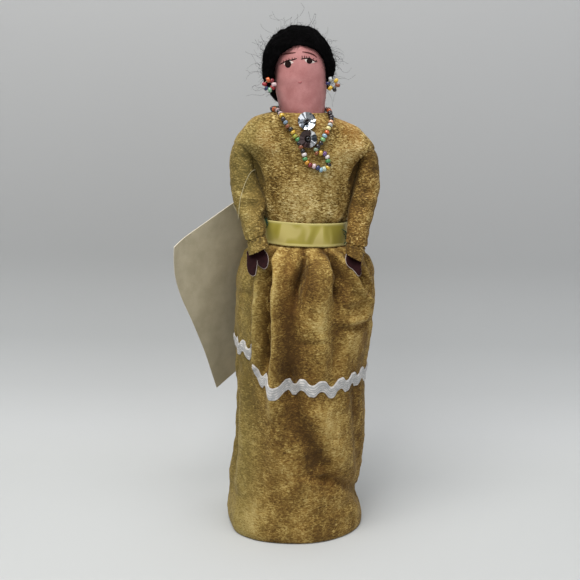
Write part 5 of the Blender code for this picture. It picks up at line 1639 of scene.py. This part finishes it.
@dataclass
class Head(Piece):
    """The stuffed head and neck in one tube of pink cloth, closed over wadding and painted by hand."""

    shift: float = -3.4 * MM
    half_width: float = 14.0 * MM
    half_depth: float = 13.4 * MM
    foot: float = 227.0 * MM
    length: float = 50.0 * MM
    # How far the neck is drawn in on the doll's right, where the seam is pulled tighter
    drawn_in: float = 2.0 * MM
    columns: int = 112
    rows: int = 84
    # Radius and height of the outline, as shares of the half width and the length, from the crown down
    outline: tuple = (
        (0.02, 1.0), (0.3, 0.985), (0.58, 0.94), (0.8, 0.85), (0.94, 0.735), (1.0, 0.59), (1.0, 0.4), (0.965, 0.2),
        (0.91, 0.0))
    # The paint, as sideways places and levels in millimetres
    whites: tuple = (
        ((-12.11, 260.69), (-11.26, 261.7), (-9.55, 262.62), (-8.0, 262.31), (-6.96, 261.66), (-7.81, 261.18),
         (-9.51, 260.39), (-11.24, 260.27)),
        ((-1.35, 263.1), (-0.5, 263.65), (1.11, 263.89), (2.68, 263.14), (4.03, 262.01), (2.72, 261.54),
         (1.16, 261.3), (-0.47, 262.02)))
    # Centre, half width and half height of each pupil
    pupils: tuple = ((-9.86, 260.82, 1.65, 1.85), (1.14, 262.6, 1.55, 1.4))
    lash_lines: tuple = (
        ((-14.03, 260.68), (-12.64, 261.36), (-11.27, 262.04), (-9.56, 262.72), (-7.84, 262.91), (-6.48, 263.27),
         (-5.4, 263.78)),
        ((-3.13, 263.39), (-1.87, 263.75), (-0.5, 263.78), (1.11, 263.93), (2.51, 263.13), (3.84, 262.57),
         (5.18, 262.38)))
    lashes: tuple = (
        ((-11.95, 261.7), (-12.39, 262.7)), ((-10.51, 262.38), (-10.88, 263.28)), ((-9.21, 262.73), (-9.44, 263.72)),
        ((-7.67, 262.98), (-7.8, 264.18)), ((-6.48, 263.27), (-6.43, 264.2)), ((-2.62, 263.5), (-2.76, 265.17)),
        ((-1.36, 263.77), (-1.53, 265.19)), ((-0.26, 263.79), (-0.56, 264.98)), ((1.11, 263.93), (0.85, 264.92)),
        ((2.79, 263.07), (3.28, 263.99)), ((4.19, 262.52), (4.87, 263.21)))
    brows: tuple = (
        ((-13.61, 265.29), (-11.7, 265.82), (-9.63, 266.16), (-7.92, 266.41), (-6.04, 266.67)),
        ((-2.63, 267.07), (-0.74, 266.85), (1.34, 266.44), (3.25, 265.66), (4.85, 264.61)))
    mouth: tuple = ((-4.52, 251.91), (-3.48, 251.67), (-2.47, 252.29))

    def build(self) -> Object:
        """Build the head with the small lumps that wadding gives.

        Returns:
            The head.
        """
        profile = even_route([Vector((radius, height, 0)) for radius, height in self.outline], self.rows)
        turns = np.arange(self.columns) / self.columns
        grid = []
        for point in profile:
            drawn = self.drawn_in * eased(1 - point.y / 0.62)
            centre = (self.shift + drawn, 0.0, self.foot + self.length * point.y)
            grid.append(oval_points(centre, self.half_width * point.x - drawn, self.half_depth * point.x, turns))
        piece = grid_piece("head_cloth", grid)
        crumple(piece, 0.35, 11.0, 6.0)
        crumple(piece, 0.06, 2.5, 9.0)
        dress(piece, self.wardrobe.skin, "doll", ("head",))
        return piece

    def face(self, head: Object) -> None:
        """Paint the face.

        Args:
            head: The head's cloth.
        """
        tree = surface_of(head)
        finishes = self.wardrobe
        whites = [paint_patch("white", tree, outline, 0.08 * MM) for outline in self.whites]
        angles = np.arange(14) * math.tau / 14
        pupils = [paint_patch("pupil", tree, [(x + wide * math.cos(angle), z + tall * math.sin(angle))
                                              for angle in angles], 0.14 * MM) for x, z, wide, tall in self.pupils]
        strokes = [paint_stroke("lash_line", tree, line, 0.34 * MM) for line in self.lash_lines]
        strokes += [paint_stroke("lash", tree, line, 0.20 * MM) for line in self.lashes]
        brows = [paint_stroke("brow", tree, line, 0.40 * MM) for line in self.brows]
        lips = [paint_stroke("lips", tree, self.mouth, 0.3 * MM)]
        for name, pieces, finish in (("eye_whites", whites, finishes.eye_white), ("pupils", pupils, finishes.paint),
                                     ("lashes", strokes, finishes.paint), ("brows", brows, finishes.brow_paint),
                                     ("mouth", lips, finishes.mouth_paint)):
            dress(joined(name, pieces), finish, "doll")


@dataclass
class Hair(Piece):
    """The cap of black felted wool, with a lock at the nape and loose fibres standing off it."""

    voxel: float = 0.65 * MM
    centre: tuple[float, float, float] = (-4.6 * MM, 2.5 * MM, 258.0 * MM)

    def build(self) -> Object:
        """Felt the cap and the lock into one soft mat.

        Returns:
            The felt.
        """
        surface = bmesh.new()
        for node in ("hair_cap", "hair_lock"):
            surface.from_mesh(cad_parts[node].data)
        bmesh.ops.remove_doubles(surface, verts=surface.verts, dist=MERGE)
        piece = mesh_of("hair_felt", surface)
        remesh = piece.modifiers.new("felted", "REMESH")
        remesh.mode = "VOXEL"
        remesh.voxel_size = self.voxel
        rounded = piece.modifiers.new("rounded", "SMOOTH")
        rounded.factor = 0.5
        rounded.iterations = 22
        plain_mesh(piece)
        piece.data.materials.clear()
        piece.data.shade_smooth()
        crumple(piece, 0.7, 7.0, 1.0)
        crumple(piece, 0.3, 1.6, 4.0)
        return dress(piece, self.wardrobe.felt, "doll", ("hair_cap", "hair_lock"))

    def outside(self, name: str, felt: Object) -> Object:
        """Copy the felt's outer skin, for the fibres to grow from.

        Args:
            name: The copy's name.
            felt: The felt.

        Returns:
            The copy.
        """
        surface = bmesh.new()
        surface.from_mesh(felt.data)
        middle = Vector(self.centre)
        inner = [face for face in surface.faces if face.normal.dot(face.calc_center_median() - middle) < 4 * MM]
        bmesh.ops.delete(surface, geom=inner, context="FACES")
        return mesh_of(name, surface)

    def fibres(self, felt: Object, tree: Tree) -> None:
        """Grow the short nap of the felt and the long fibres that have worked loose, thicker than real wool.

        Args:
            felt: The felt.
            tree: The fibre tree.
        """
        finish = self.wardrobe.fibre
        nap = self.outside("hair_nap", felt)
        grown(nap, tree, Density=3.0e5, Fibre_Length=3.4 * MM, Lift=0.22, Wander=0.45, Curl=0.7 * MM,
              Curl_Size=160.0, Radius=0.06 * MM, Seed=5, Finish=finish)
        loose = self.outside("hair_loose_fibres", felt)
        grown(loose, tree, Density=4.6e4, Fibre_Length=11.5 * MM, Lift=1.2, Wander=0.9, Curl=5.0 * MM,
              Curl_Size=150.0, Radius=0.05 * MM, Seed=8, Finish=finish)
        dress(nap, finish, "doll")
        dress(loose, finish, "doll")


# Beads, sequins and the tag

GLASS = {
    "orange": "#D9662E", "darkred": "#7E1622", "red": "#A02028", "white": "#E6DCDA", "whitepink": "#E0C4C6",
    "whitegreen": "#C4D2C0", "greenwhite": "#86B496", "navy": "#28305E", "mauve": "#8E6C88", "yellow": "#DDB63C",
    "yellowwhite": "#E2D490", "yellowgreen": "#A6A83C", "yelloworange": "#DA9A34", "green": "#4F9256",
    "lightgreen": "#86B878", "greygreen": "#84977F", "brown": "#8C4E2A", "black": "#1B171B", "dark": "#332A30",
    "grey": "#B8BCBC", "greypink": "#B49C9E", "bluegrey": "#7F92A4", "lightblue": "#93B6C8", "purple": "#6E4C86",
    "peach": "#E2AA88",
}


def strung_beads(name: str, places: Sequence[Vector], ways: Sequence[Vector], glass: Sequence[str], tree: Tree,
                 **sizes: Any) -> Object:
    """String beads on points.

    Args:
        name: The object's name.
        places: The beads' centres.
        ways: The thread's direction through each.
        glass: The colour name of each.
        tree: The bead tree.
        **sizes: The tree's inputs.

    Returns:
        One object that holds all the beads.
    """
    mesh = bpy.data.meshes.new(name)
    mesh.from_pydata([tuple(place) for place in places], [], [])
    flat = np.asarray([tuple(way) for way in ways], np.float32).ravel()
    mesh.attributes.new("along", "FLOAT_VECTOR", "POINT").data.foreach_set("vector", flat)
    tints = np.asarray([linear(GLASS[word]) for word in glass], np.float32).ravel()
    mesh.attributes.new(TINT, "FLOAT_COLOR", "POINT").data.foreach_set("color", tints)
    return grown(object_of(name, mesh), tree, **sizes)


def loop_ways(places: Sequence[Vector]) -> list[Vector]:
    """Return the direction of a closed loop at each of its points."""
    count = len(places)
    return [(places[(index + 1) % count] - places[index - 1]).normalized() for index in range(count)]


# Each earring's forward place, and sideways place, level and glass of each of its beads, in millimetres
EARRINGS = {
    Side.RIGHT: (-9.9, (
        (-20.0, 252.7, "orange"), (-18.1, 252.2, "darkred"), (-16.9, 250.5, "whitepink"), (-17.7, 248.9, "red"),
        (-19.0, 247.7, "greenwhite"), (-20.9, 248.4, "navy"), (-21.9, 250.5, "red"))),
    Side.LEFT: (-7.2, (
        (12.46, 253.6, "grey"), (15.33, 253.0, "yellow"), (16.17, 250.7, "brown"), (14.64, 248.66, "black"),
        (12.42, 249.2, "yellow"), (11.24, 251.5, "navy"))),
}


@dataclass
class Earring(Piece):
    """Seed beads tied in a ring of thread, sewn into the hair over one ear."""

    side: Side

    def build(self, tree: Tree) -> None:
        """String the ring.

        Args:
            tree: The bead tree.
        """
        word = self.side.word
        plane, beads = EARRINGS[self.side]
        places = [Vector((x * MM, plane * MM + (0.25 * MM if number % 2 else -0.25 * MM), z * MM))
                  for number, (x, z, _) in enumerate(beads)]
        strung = strung_beads(f"earring_beads_{word}", places, loop_ways(places), [colour for _, _, colour in beads],
                              tree, Radius=1.42 * MM, Bore=0.35 * MM, Length=1.9 * MM, Spread=0.10, Seed=3,
                              Finish=self.wardrobe.beads)
        nodes = [f"earring_{word}_bead_{number + 1}" for number in range(len(beads))]
        dress(strung, self.wardrobe.beads, f"{word}_earring", nodes)
        route = even_route(places, 60, closed=True)
        thread = tube(f"earring_ring_{word}", route, [0.16 * MM] * len(route), closed=True)
        dress(thread, self.wardrobe.thread, f"{word}_earring", (f"earring_thread_{word}",))


@dataclass
class Necklace(Piece):
    """One strand of mixed seed beads, hung round the neck and looped to the left over the chest."""

    lift: float = 1.5 * MM
    pitch: float = 2.15 * MM
    pivot: tuple[float, float] = (-3.4 * MM, 237.4 * MM)
    # Sideways place and level of each front bead in millimetres, and its glass
    front: tuple = (
        (-13.3, 236.6, "greypink"), (-12.1, 234.2, "yellow"), (-11.1, 232.2, "dark"), (-10.0, 231.1, "bluegrey"),
        (-9.1, 229.3, "brown"), (-7.8, 228.1, "black"), (-6.4, 226.2, "yellow"), (-5.5, 224.4, "yellowgreen"),
        (-4.0, 222.9, "green"), (-3.6, 221.6, "green"), (-2.5, 219.7, "brown"), (-1.8, 218.1, "black"),
        (-0.6, 215.8, "white"), (-0.2, 214.5, "yellowgreen"), (0.0, 212.9, "green"), (0.9, 211.5, "yelloworange"),
        (2.3, 210.4, "darkred"), (4.1, 209.9, "whitepink"), (5.2, 208.8, "black"), (6.7, 208.5, "navy"),
        (9.0, 207.3, "lightblue"), (10.4, 208.6, "whitegreen"), (12.4, 208.8, "yellow"), (11.8, 211.9, "green"),
        (11.7, 213.7, "white"), (9.6, 216.1, "purple"), (6.9, 216.2, "yellow"), (5.2, 216.4, "brown"),
        (5.9, 218.8, "greygreen"), (7.3, 220.4, "black"), (8.5, 222.4, "lightgreen"), (9.5, 224.7, "lightblue"),
        (10.6, 226.3, "darkred"), (11.0, 227.2, "orange"), (11.6, 229.0, "yellowwhite"), (12.4, 230.5, "grey"),
        (12.9, 233.0, "peach"), (12.2, 234.5, "dark"))
    # The strand behind the neck, from left to right: sideways, forward and level from its pivot, in millimetres
    behind: tuple = (
        (16.2, -24.5, -2.1), (16.0, -20.5, -0.5), (15.42, -17.31, 0.42), (15.44, -12.93, 0.45), (14.2, -8.72, 0.34),
        (11.72, -5.08, 0.33), (8.31, -2.29, 0.34), (4.27, -0.53, 0.35), (-0.1, 0.05, 0.37), (-4.47, -0.59, 0.35),
        (-8.49, -2.4, 0.34), (-11.86, -5.23, 0.33), (-14.29, -8.9, 0.34), (-15.56, -13.12, 0.36),
        (-15.46, -17.51, 0.35), (-14.09, -21.7, 0.32), (-12.13, -25.59, -0.29))
    plain_glass: tuple = ("yellow", "black", "brown", "lightgreen", "white", "navy", "orange", "grey", "darkred")

    def strand(self, clothes: BVHTree) -> list[Vector]:
        """Return the thread's centre line.

        Args:
            clothes: The bodice's surface, which the strand lies on in front.

        Returns:
            The points of a closed line.
        """
        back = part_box("necklace")[1][1] - 1.4 * MM
        points = [on_front(clothes, x * MM, z * MM, self.lift) for x, z, _ in self.front[1:-1]]
        for x, y, z in self.behind:
            # The neck is drawn in on the doll's right
            reach = x if x > 0 else 0.92 * x
            points.append(Vector((self.pivot[0] + reach * MM, back + y * MM, self.pivot[1] + z * MM)))
        return points

    def build(self, clothes: BVHTree, tree: Tree) -> None:
        """String the beads evenly on the thread, in the order of the strand.

        Args:
            clothes: The bodice's surface.
            tree: The bead tree.
        """
        line = self.strand(clothes)
        loop = even_route(line, 900, closed=True)
        length = sum((here - ahead).length for here, ahead in zip(loop, loop[1:] + loop[:1]))
        count = round(length / self.pitch)
        places = [loop[round(len(loop) * number / count) % len(loop)] for number in range(count)]
        colours = []
        shown = [(Vector((x * MM, z * MM)), word) for x, z, word in self.front]
        for number, place in enumerate(places):
            seen = Vector((place.x, place.z))
            near, word = min(shown, key=lambda item: (item[0] - seen).length)
            if place.y > -6 * MM or (near - seen).length > 2.2 * MM:
                word = self.plain_glass[number * 5 % len(self.plain_glass)]
            colours.append("black" if colours and colours[-1] == word else word)
        strung = strung_beads("necklace_beads", places, loop_ways(places), colours, tree, Radius=1.42 * MM,
                              Bore=0.4 * MM, Length=1.85 * MM, Spread=0.09, Seed=7, Finish=self.wardrobe.beads)
        dress(strung, self.wardrobe.beads, "neck_strand", ("necklace",))
        fine = even_route(line, 260, closed=True)
        thread = tube("necklace_thread", fine, [0.2 * MM] * len(fine), closed=True)
        dress(thread, self.wardrobe.thread, "neck_strand")


@dataclass
class Sequin(Piece):
    """One cup sequin, pressed from silvered film in twelve facets and held by a dark bead."""

    word: str
    finish: Material
    # Its centre in millimetres, and the way it faces
    centre: tuple[float, float, float]
    normal: tuple[float, float, float]
    radius: float = 4.75 * MM
    cup: float = 1.0 * MM
    wall: float = 0.12 * MM
    facets: int = 12

    def build(self, tree: Tree) -> None:
        """Press the cup and sew on its bead.

        Args:
            tree: The bead tree.
        """
        turn = Vector((0, 0, 1)).rotation_difference(Vector(self.normal).normalized())
        centre = Vector(self.centre) * MM
        columns = 2 * self.facets
        stations = ((0.5 * MM, 0.0), (0.30 * self.radius, 0.0), (0.34 * self.radius, 0.12 * self.cup),
                    (0.96 * self.radius, 0.96 * self.cup), (self.radius, self.cup))
        rows = []
        for side, ordered in ((0.0, stations), (-self.wall, stations[::-1])):
            for radius, height in ordered:
                ring = []
                for column in range(columns):
                    angle = math.tau * column / columns
                    ridge = 1.0 if column % 2 else 0.965
                    lift = height + side + (0.0 if column % 2 else 0.10 * MM * radius / self.radius)
                    ring.append(centre + turn @ Vector((radius * ridge * math.cos(angle),
                                                        radius * ridge * math.sin(angle), lift)))
                rows.append(ring)
        cup = grid_piece(f"sequin_cup_{self.word}", rows, wrap_rows=True)
        cup.data.shade_flat()
        dress(cup, self.finish, "doll", (f"sequin_{self.word}",))
        seat = centre + turn @ Vector((0, 0, 0.75 * MM))
        bead = strung_beads(f"sequin_bead_glass_{self.word}", [seat], [turn @ Vector((0.25, 0.0, 1.0))], ["black"],
                            tree, Radius=1.25 * MM, Bore=0.4 * MM, Length=1.5 * MM, Spread=0.0, Seed=2,
                            Finish=self.wardrobe.beads)
        dress(bead, self.wardrobe.beads, "doll", (f"sequin_bead_{self.word}",))


@dataclass
class Tag(Piece):
    """The blank card tag, a little bowed and curled at its corner, on its loop of pale thread."""

    # The hole's centre in millimetres, and the card's ways across and down
    hole: tuple[float, float, float] = (-36.6, 14.4, 183.0)
    across: tuple[float, float, float] = (0.7073, 0.5797, 0.4045)
    down: tuple[float, float, float] = (0.2384, 0.3431, -0.9085)
    # The card's least and greatest place across and down, in millimetres from the hole
    near: tuple[float, float] = (-49.0, 4.0)
    far: tuple[float, float] = (-4.0, 93.0)
    # The free edge's places across and down, from its upper corner; it has been handled out of true
    left_edge: tuple = (
        (-47.6, -1.0), (-50.6, 6.3), (-52.8, 15.9), (-53.2, 30.0), (-52.0, 46.2), (-50.6, 71.8), (-50.4, 98.6))
    thickness: float = 0.5 * MM
    hole_radius: float = 1.6
    # The thread's closed route: through the hole and behind the arm in millimetres, then over the sleeve's front
    # as levels in millimetres and turns from its front
    behind: tuple = (
        (-26.6, 9.0, 199.5), (-31.0, 13.2, 190.0), (-35.87, 13.59, 182.89), (-37.33, 15.21, 183.11),
        (-39.0, 10.5, 184.0))
    over: tuple = (
        (182.5, -0.32), (181.0, -0.25), (181.6, -0.19), (184.0, -0.15), (187.2, -0.115), (190.3, -0.085),
        (193.2, -0.055), (196.8, -0.015), (200.4, 0.03), (204.0, 0.09), (205.6, 0.16), (205.0, 0.25), (203.0, 0.36))

    def bend(self, side: float, fall: float) -> float:
        """Return how far the card leaves its plane.

        Args:
            side: A place across the card, in millimetres.
            fall: A place down the card, in millimetres.

        Returns:
            Millimetres behind its plane.
        """
        left = (side - self.near[0]) / (self.near[1] - self.near[0])
        low = (fall - self.far[0]) / (self.far[1] - self.far[0])
        bow = 1.6 * math.sin(math.pi * low) * (1 - left)
        curl = 3.2 * max(0.0, 1 - (left + low) / 0.30) ** 2
        return bow + curl + 0.35 * noise.noise(Vector((side / 22, fall / 26, 4.0)))

    def border(self, steps: int) -> list[Vector]:
        """Return the card's edge, from the upper corner of the free edge round the three straight ones.

        Args:
            steps: How many points each edge has.

        Returns:
            Places across and down.
        """
        free = even_route([Vector((side, fall, 0)) for side, fall in self.left_edge], steps + 1)
        corners = (self.left_edge[0], (self.near[1], self.far[0]), (self.near[1], self.far[1]), self.left_edge[-1])
        straight = [Vector((start[0] + (end[0] - start[0]) * part / steps,
                            start[1] + (end[1] - start[1]) * part / steps))
                    for start, end in zip(corners, corners[1:]) for part in range(steps)]
        return straight + [place.xy for place in free[:0:-1]]

    def card(self) -> None:
        """Cut the card round its punched hole and bend it."""
        border = self.border(48)
        count = 14
        rings = [[(edge.normalized() * self.hole_radius).lerp(edge, (ring / (count - 1)) ** 1.25) for edge in border]
                 for ring in range(count)]
        across, down = Vector(self.across), Vector(self.down)
        face = across.cross(down)
        rows = []
        for side, ordered in ((0.5, rings), (-0.5, rings[::-1])):
            for points in ordered:
                rows.append([(Vector(self.hole) + across * point.x + down * point.y
                              - face * self.bend(point.x, point.y)) * MM + face * self.thickness * side
                             for point in points])
        piece = grid_piece("card_tag", rows, wrap_rows=True)
        piece.data.materials.append(self.wardrobe.card)
        piece.data.materials.append(self.wardrobe.card_edge)
        for polygon in piece.data.polygons:
            polygon.material_index = 0 if abs(polygon.normal.dot(face)) > 0.6 else 1
        piece.data.shade_flat()
        dress(piece, self.wardrobe.card, "tag", ("tag_card",))

    def thread(self) -> None:
        """Run the thread, two plies twisted together."""
        sleeve = Sleeve(self.wardrobe, Side.RIGHT)
        points = [Vector(point) * MM for point in self.behind]
        points += [Vector(sleeve.section(level, np.asarray([turn]), 0.45 * MM)[0]) for level, turn in self.over]
        line = even_route(points, 420, closed=True)
        twists = 90
        plies = []
        for ply in range(2):
            strand = []
            for number, (place, way) in enumerate(zip(line, loop_ways(line))):
                side = way.cross(Vector((0.2, 0.3, 1.0))).normalized()
                lift = side.cross(way).normalized()
                angle = math.tau * (number / len(line) * twists + ply / 2)
                strand.append(place + (side * math.cos(angle) + lift * math.sin(angle)) * 0.08 * MM)
            plies.append(tube(f"ply_{ply}", strand, [0.10 * MM] * len(strand), closed=True))
        dress(joined("tag_string", plies), self.wardrobe.thread, "right_arm", ("tag_thread",))


# Stage, light and camera


@dataclass
class Studio:
    """A pale sweep of paper, soft light from the upper left and the camera."""

    place: tuple[float, float, float] = (-0.0064, -0.485, 0.255)
    sensor: float = 36.0
    # A lens of 892 pixels on a picture 580 pixels wide
    lens: float = 892 / 580 * 36.0
    pitch: float = math.radians(13.5)
    roll: float = math.radians(1.2)
    # Name, place and aim in metres, side in metres, watts and sRGB colour of each square lamp
    lamps: tuple = (
        ("window_soft", (-0.28, -0.42, 0.98), (0, 0, 0.16), 0.6, 8.5, "#FFFDF9"),
        ("room_fill", (0.7, -0.6, 0.5), (0, 0, 0.14), 0.8, 1.9, "#F8FAFF"),
        ("top_soft", (0.05, -0.12, 1.1), (0, 0.02, 0.1), 0.6, 4.0, "#FFFFFF"))

    def sweep(self) -> None:
        """Lay the floor and its curved rise into the backdrop."""
        profile = [(-3.0, 0.0), (-0.75, 0.0), (0.0, 0.0), (0.06, 0.0)]
        profile += [(0.06 + 0.12 * math.sin(turn), 0.12 * (1 - math.cos(turn)))
                    for turn in np.linspace(0.12, math.pi / 2, 16)]
        profile += [(0.18, 0.3), (0.18, 1.4)]
        points = [(x, y, z) for x in (-3.0, 3.0) for y, z in profile]
        count = len(profile)
        faces = [(step, count + step, count + step + 1, step + 1) for step in range(count - 1)]
        mesh = bpy.data.meshes.new("paper_sweep")
        mesh.from_pydata(points, [], faces)
        mesh.shade_smooth()
        finish, tree, shader = new_material("matte_backdrop_paper")
        place = add_node(tree, "ShaderNodeTexCoord").outputs["Object"]
        parts = add_node(tree, "ShaderNodeSeparateXYZ", {0: place})
        # One sheet of paper drawn white on the floor, greyer up its rise and lighter again high up: the grey is
        # painted shade where less light reaches the paper
        height = add_node(tree, RANGE, {"Value": parts.outputs[2], "From Max": 0.5})
        tone = add_node(tree, RAMP, {0: height}, stops=(
            (0.0, "#C0C2C2"), (0.02, "#BDBFC0"), (0.06, "#B2B4B5"), (0.12, "#A8AAAB"), (0.30, "#A9AAAB"),
            (0.8, "#B6B7B8")))
        feed(tree, shader, {"Base Color": tone, "Roughness": 1.0, "Specular IOR Level": 0.1})
        # The camera looks through the sweep's back, so that the doll can be seen from every side
        facing = add_node(tree, "ShaderNodeNewGeometry").outputs["Backfacing"]
        path = add_node(tree, "ShaderNodeLightPath").outputs["Is Camera Ray"]
        hidden = add_node(tree, MATH, {0: facing, 1: path}, operation="MULTIPLY")
        clear = add_node(tree, "ShaderNodeBsdfTransparent")
        mixed = add_node(tree, "ShaderNodeMixShader", {0: hidden, 1: shader, 2: clear})
        feed(tree, tree.nodes["Material Output"], {"Surface": mixed})
        mesh.materials.append(finish)
        sweep = object_of("paper_sweep", mesh)

    def room(self) -> bpy.types.World:
        """Build the room's even light, with a plain grey for what the camera sees and what shines.

        Returns:
            The world.
        """
        world = bpy.data.worlds.new("room")
        world.use_nodes = True
        tree = world.node_tree
        lighting = tree.nodes["Background"]
        feed(tree, lighting, {"Color": linear("#F2F4F6"), "Strength": 0.33})
        path = add_node(tree, "ShaderNodeLightPath").outputs
        seen = add_node(tree, "ShaderNodeBackground", {"Color": linear("#8E9092"), "Strength": 1.0})
        direct = add_node(tree, MATH, {0: path["Is Camera Ray"], 1: path["Is Glossy Ray"]}, operation="MAXIMUM")
        clear = add_node(tree, MATH, {0: direct, 1: path["Is Transmission Ray"]}, operation="MAXIMUM")
        mixed = add_node(tree, "ShaderNodeMixShader", {0: clear, 1: lighting, 2: seen})
        feed(tree, tree.nodes["World Output"], {"Surface": mixed})
        return world

    def build(self) -> None:
        """Set the floor, the lamps, the world and the camera."""
        scene = bpy.context.scene
        self.sweep()
        for name, place, aim, size, power, colour in self.lamps:
            light = bpy.data.lights.new(name, "AREA")
            light.size = size
            light.energy = power
            light.color = linear(colour)[:3]
            turn = (Vector(aim) - Vector(place)).to_track_quat("-Z", "Y").to_matrix().to_4x4()
            object_of(name, light).matrix_world = Matrix.Translation(place) @ turn
        scene.world = self.room()
        scene.view_settings.view_transform = "Standard"
        camera = bpy.data.cameras.new("front_camera")
        camera.lens = self.lens
        camera.sensor_width = self.sensor
        camera.clip_start = 0.02
        scene.camera = object_of("front_camera", camera)
        turn = Matrix.Rotation(math.pi / 2 - self.pitch, 4, "X") @ Matrix.Rotation(self.roll, 4, "Z")
        scene.camera.matrix_world = Matrix.Translation(self.place) @ turn


def line_inside(wardrobe: Wardrobe) -> None:
    """Give the hidden body and the base their own materials.

    Args:
        wardrobe: The finishes.
    """
    for node, finish in (("stuffed_body", wardrobe.muslin), ("base_disc", wardrobe.grey_card)):
        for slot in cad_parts[node].material_slots:
            slot.material = finish


def main() -> None:
    """Dress the doll piece by piece and set the stage."""
    logging.basicConfig(level=logging.INFO, format="%(message)s")
    wardrobe = Wardrobe.build()
    beads, stitches, fibres = bead_tree(), stitch_tree(), fibre_tree()
    Studio().build()
    line_inside(wardrobe)
    skirt = Skirt(wardrobe)
    cloth = skirt.build()
    braid = Rickrack(wardrobe).build(cloth)
    bodice = Bodice(wardrobe).build()
    belt = Belt(wardrobe)
    belt.build()
    belt.tacks()
    for side in Side:
        # The doll's left sleeve, away from the light, gets more painted shade
        sleeve = Sleeve(wardrobe, side, shade=1.0 if side == Side.RIGHT else 1.5)
        sleeve.build()
        sleeve.wadding()
        sleeve.stitch(stitches)
        Hand(wardrobe, side).build()
    head = Head(wardrobe)
    head.face(head.build())
    hair = Hair(wardrobe)
    hair.fibres(hair.build(), fibres)
    for side in Side:
        Earring(wardrobe, side).build(beads)
    Sequin(wardrobe, "upper", wardrobe.silver, (0.4, -16.1, 232.3), (0.09, -0.96, 0.28)).build(beads)
    Sequin(wardrobe, "lower", wardrobe.painted_dark_reflection, (1.3, -17.8, 223.4), (0.06, -0.99, 0.09)).build(beads)
    Necklace(wardrobe).build(surface_of(bodice), beads)
    tag = Tag(wardrobe)
    tag.card()
    tag.thread()


if __name__ == "__main__":
    main()
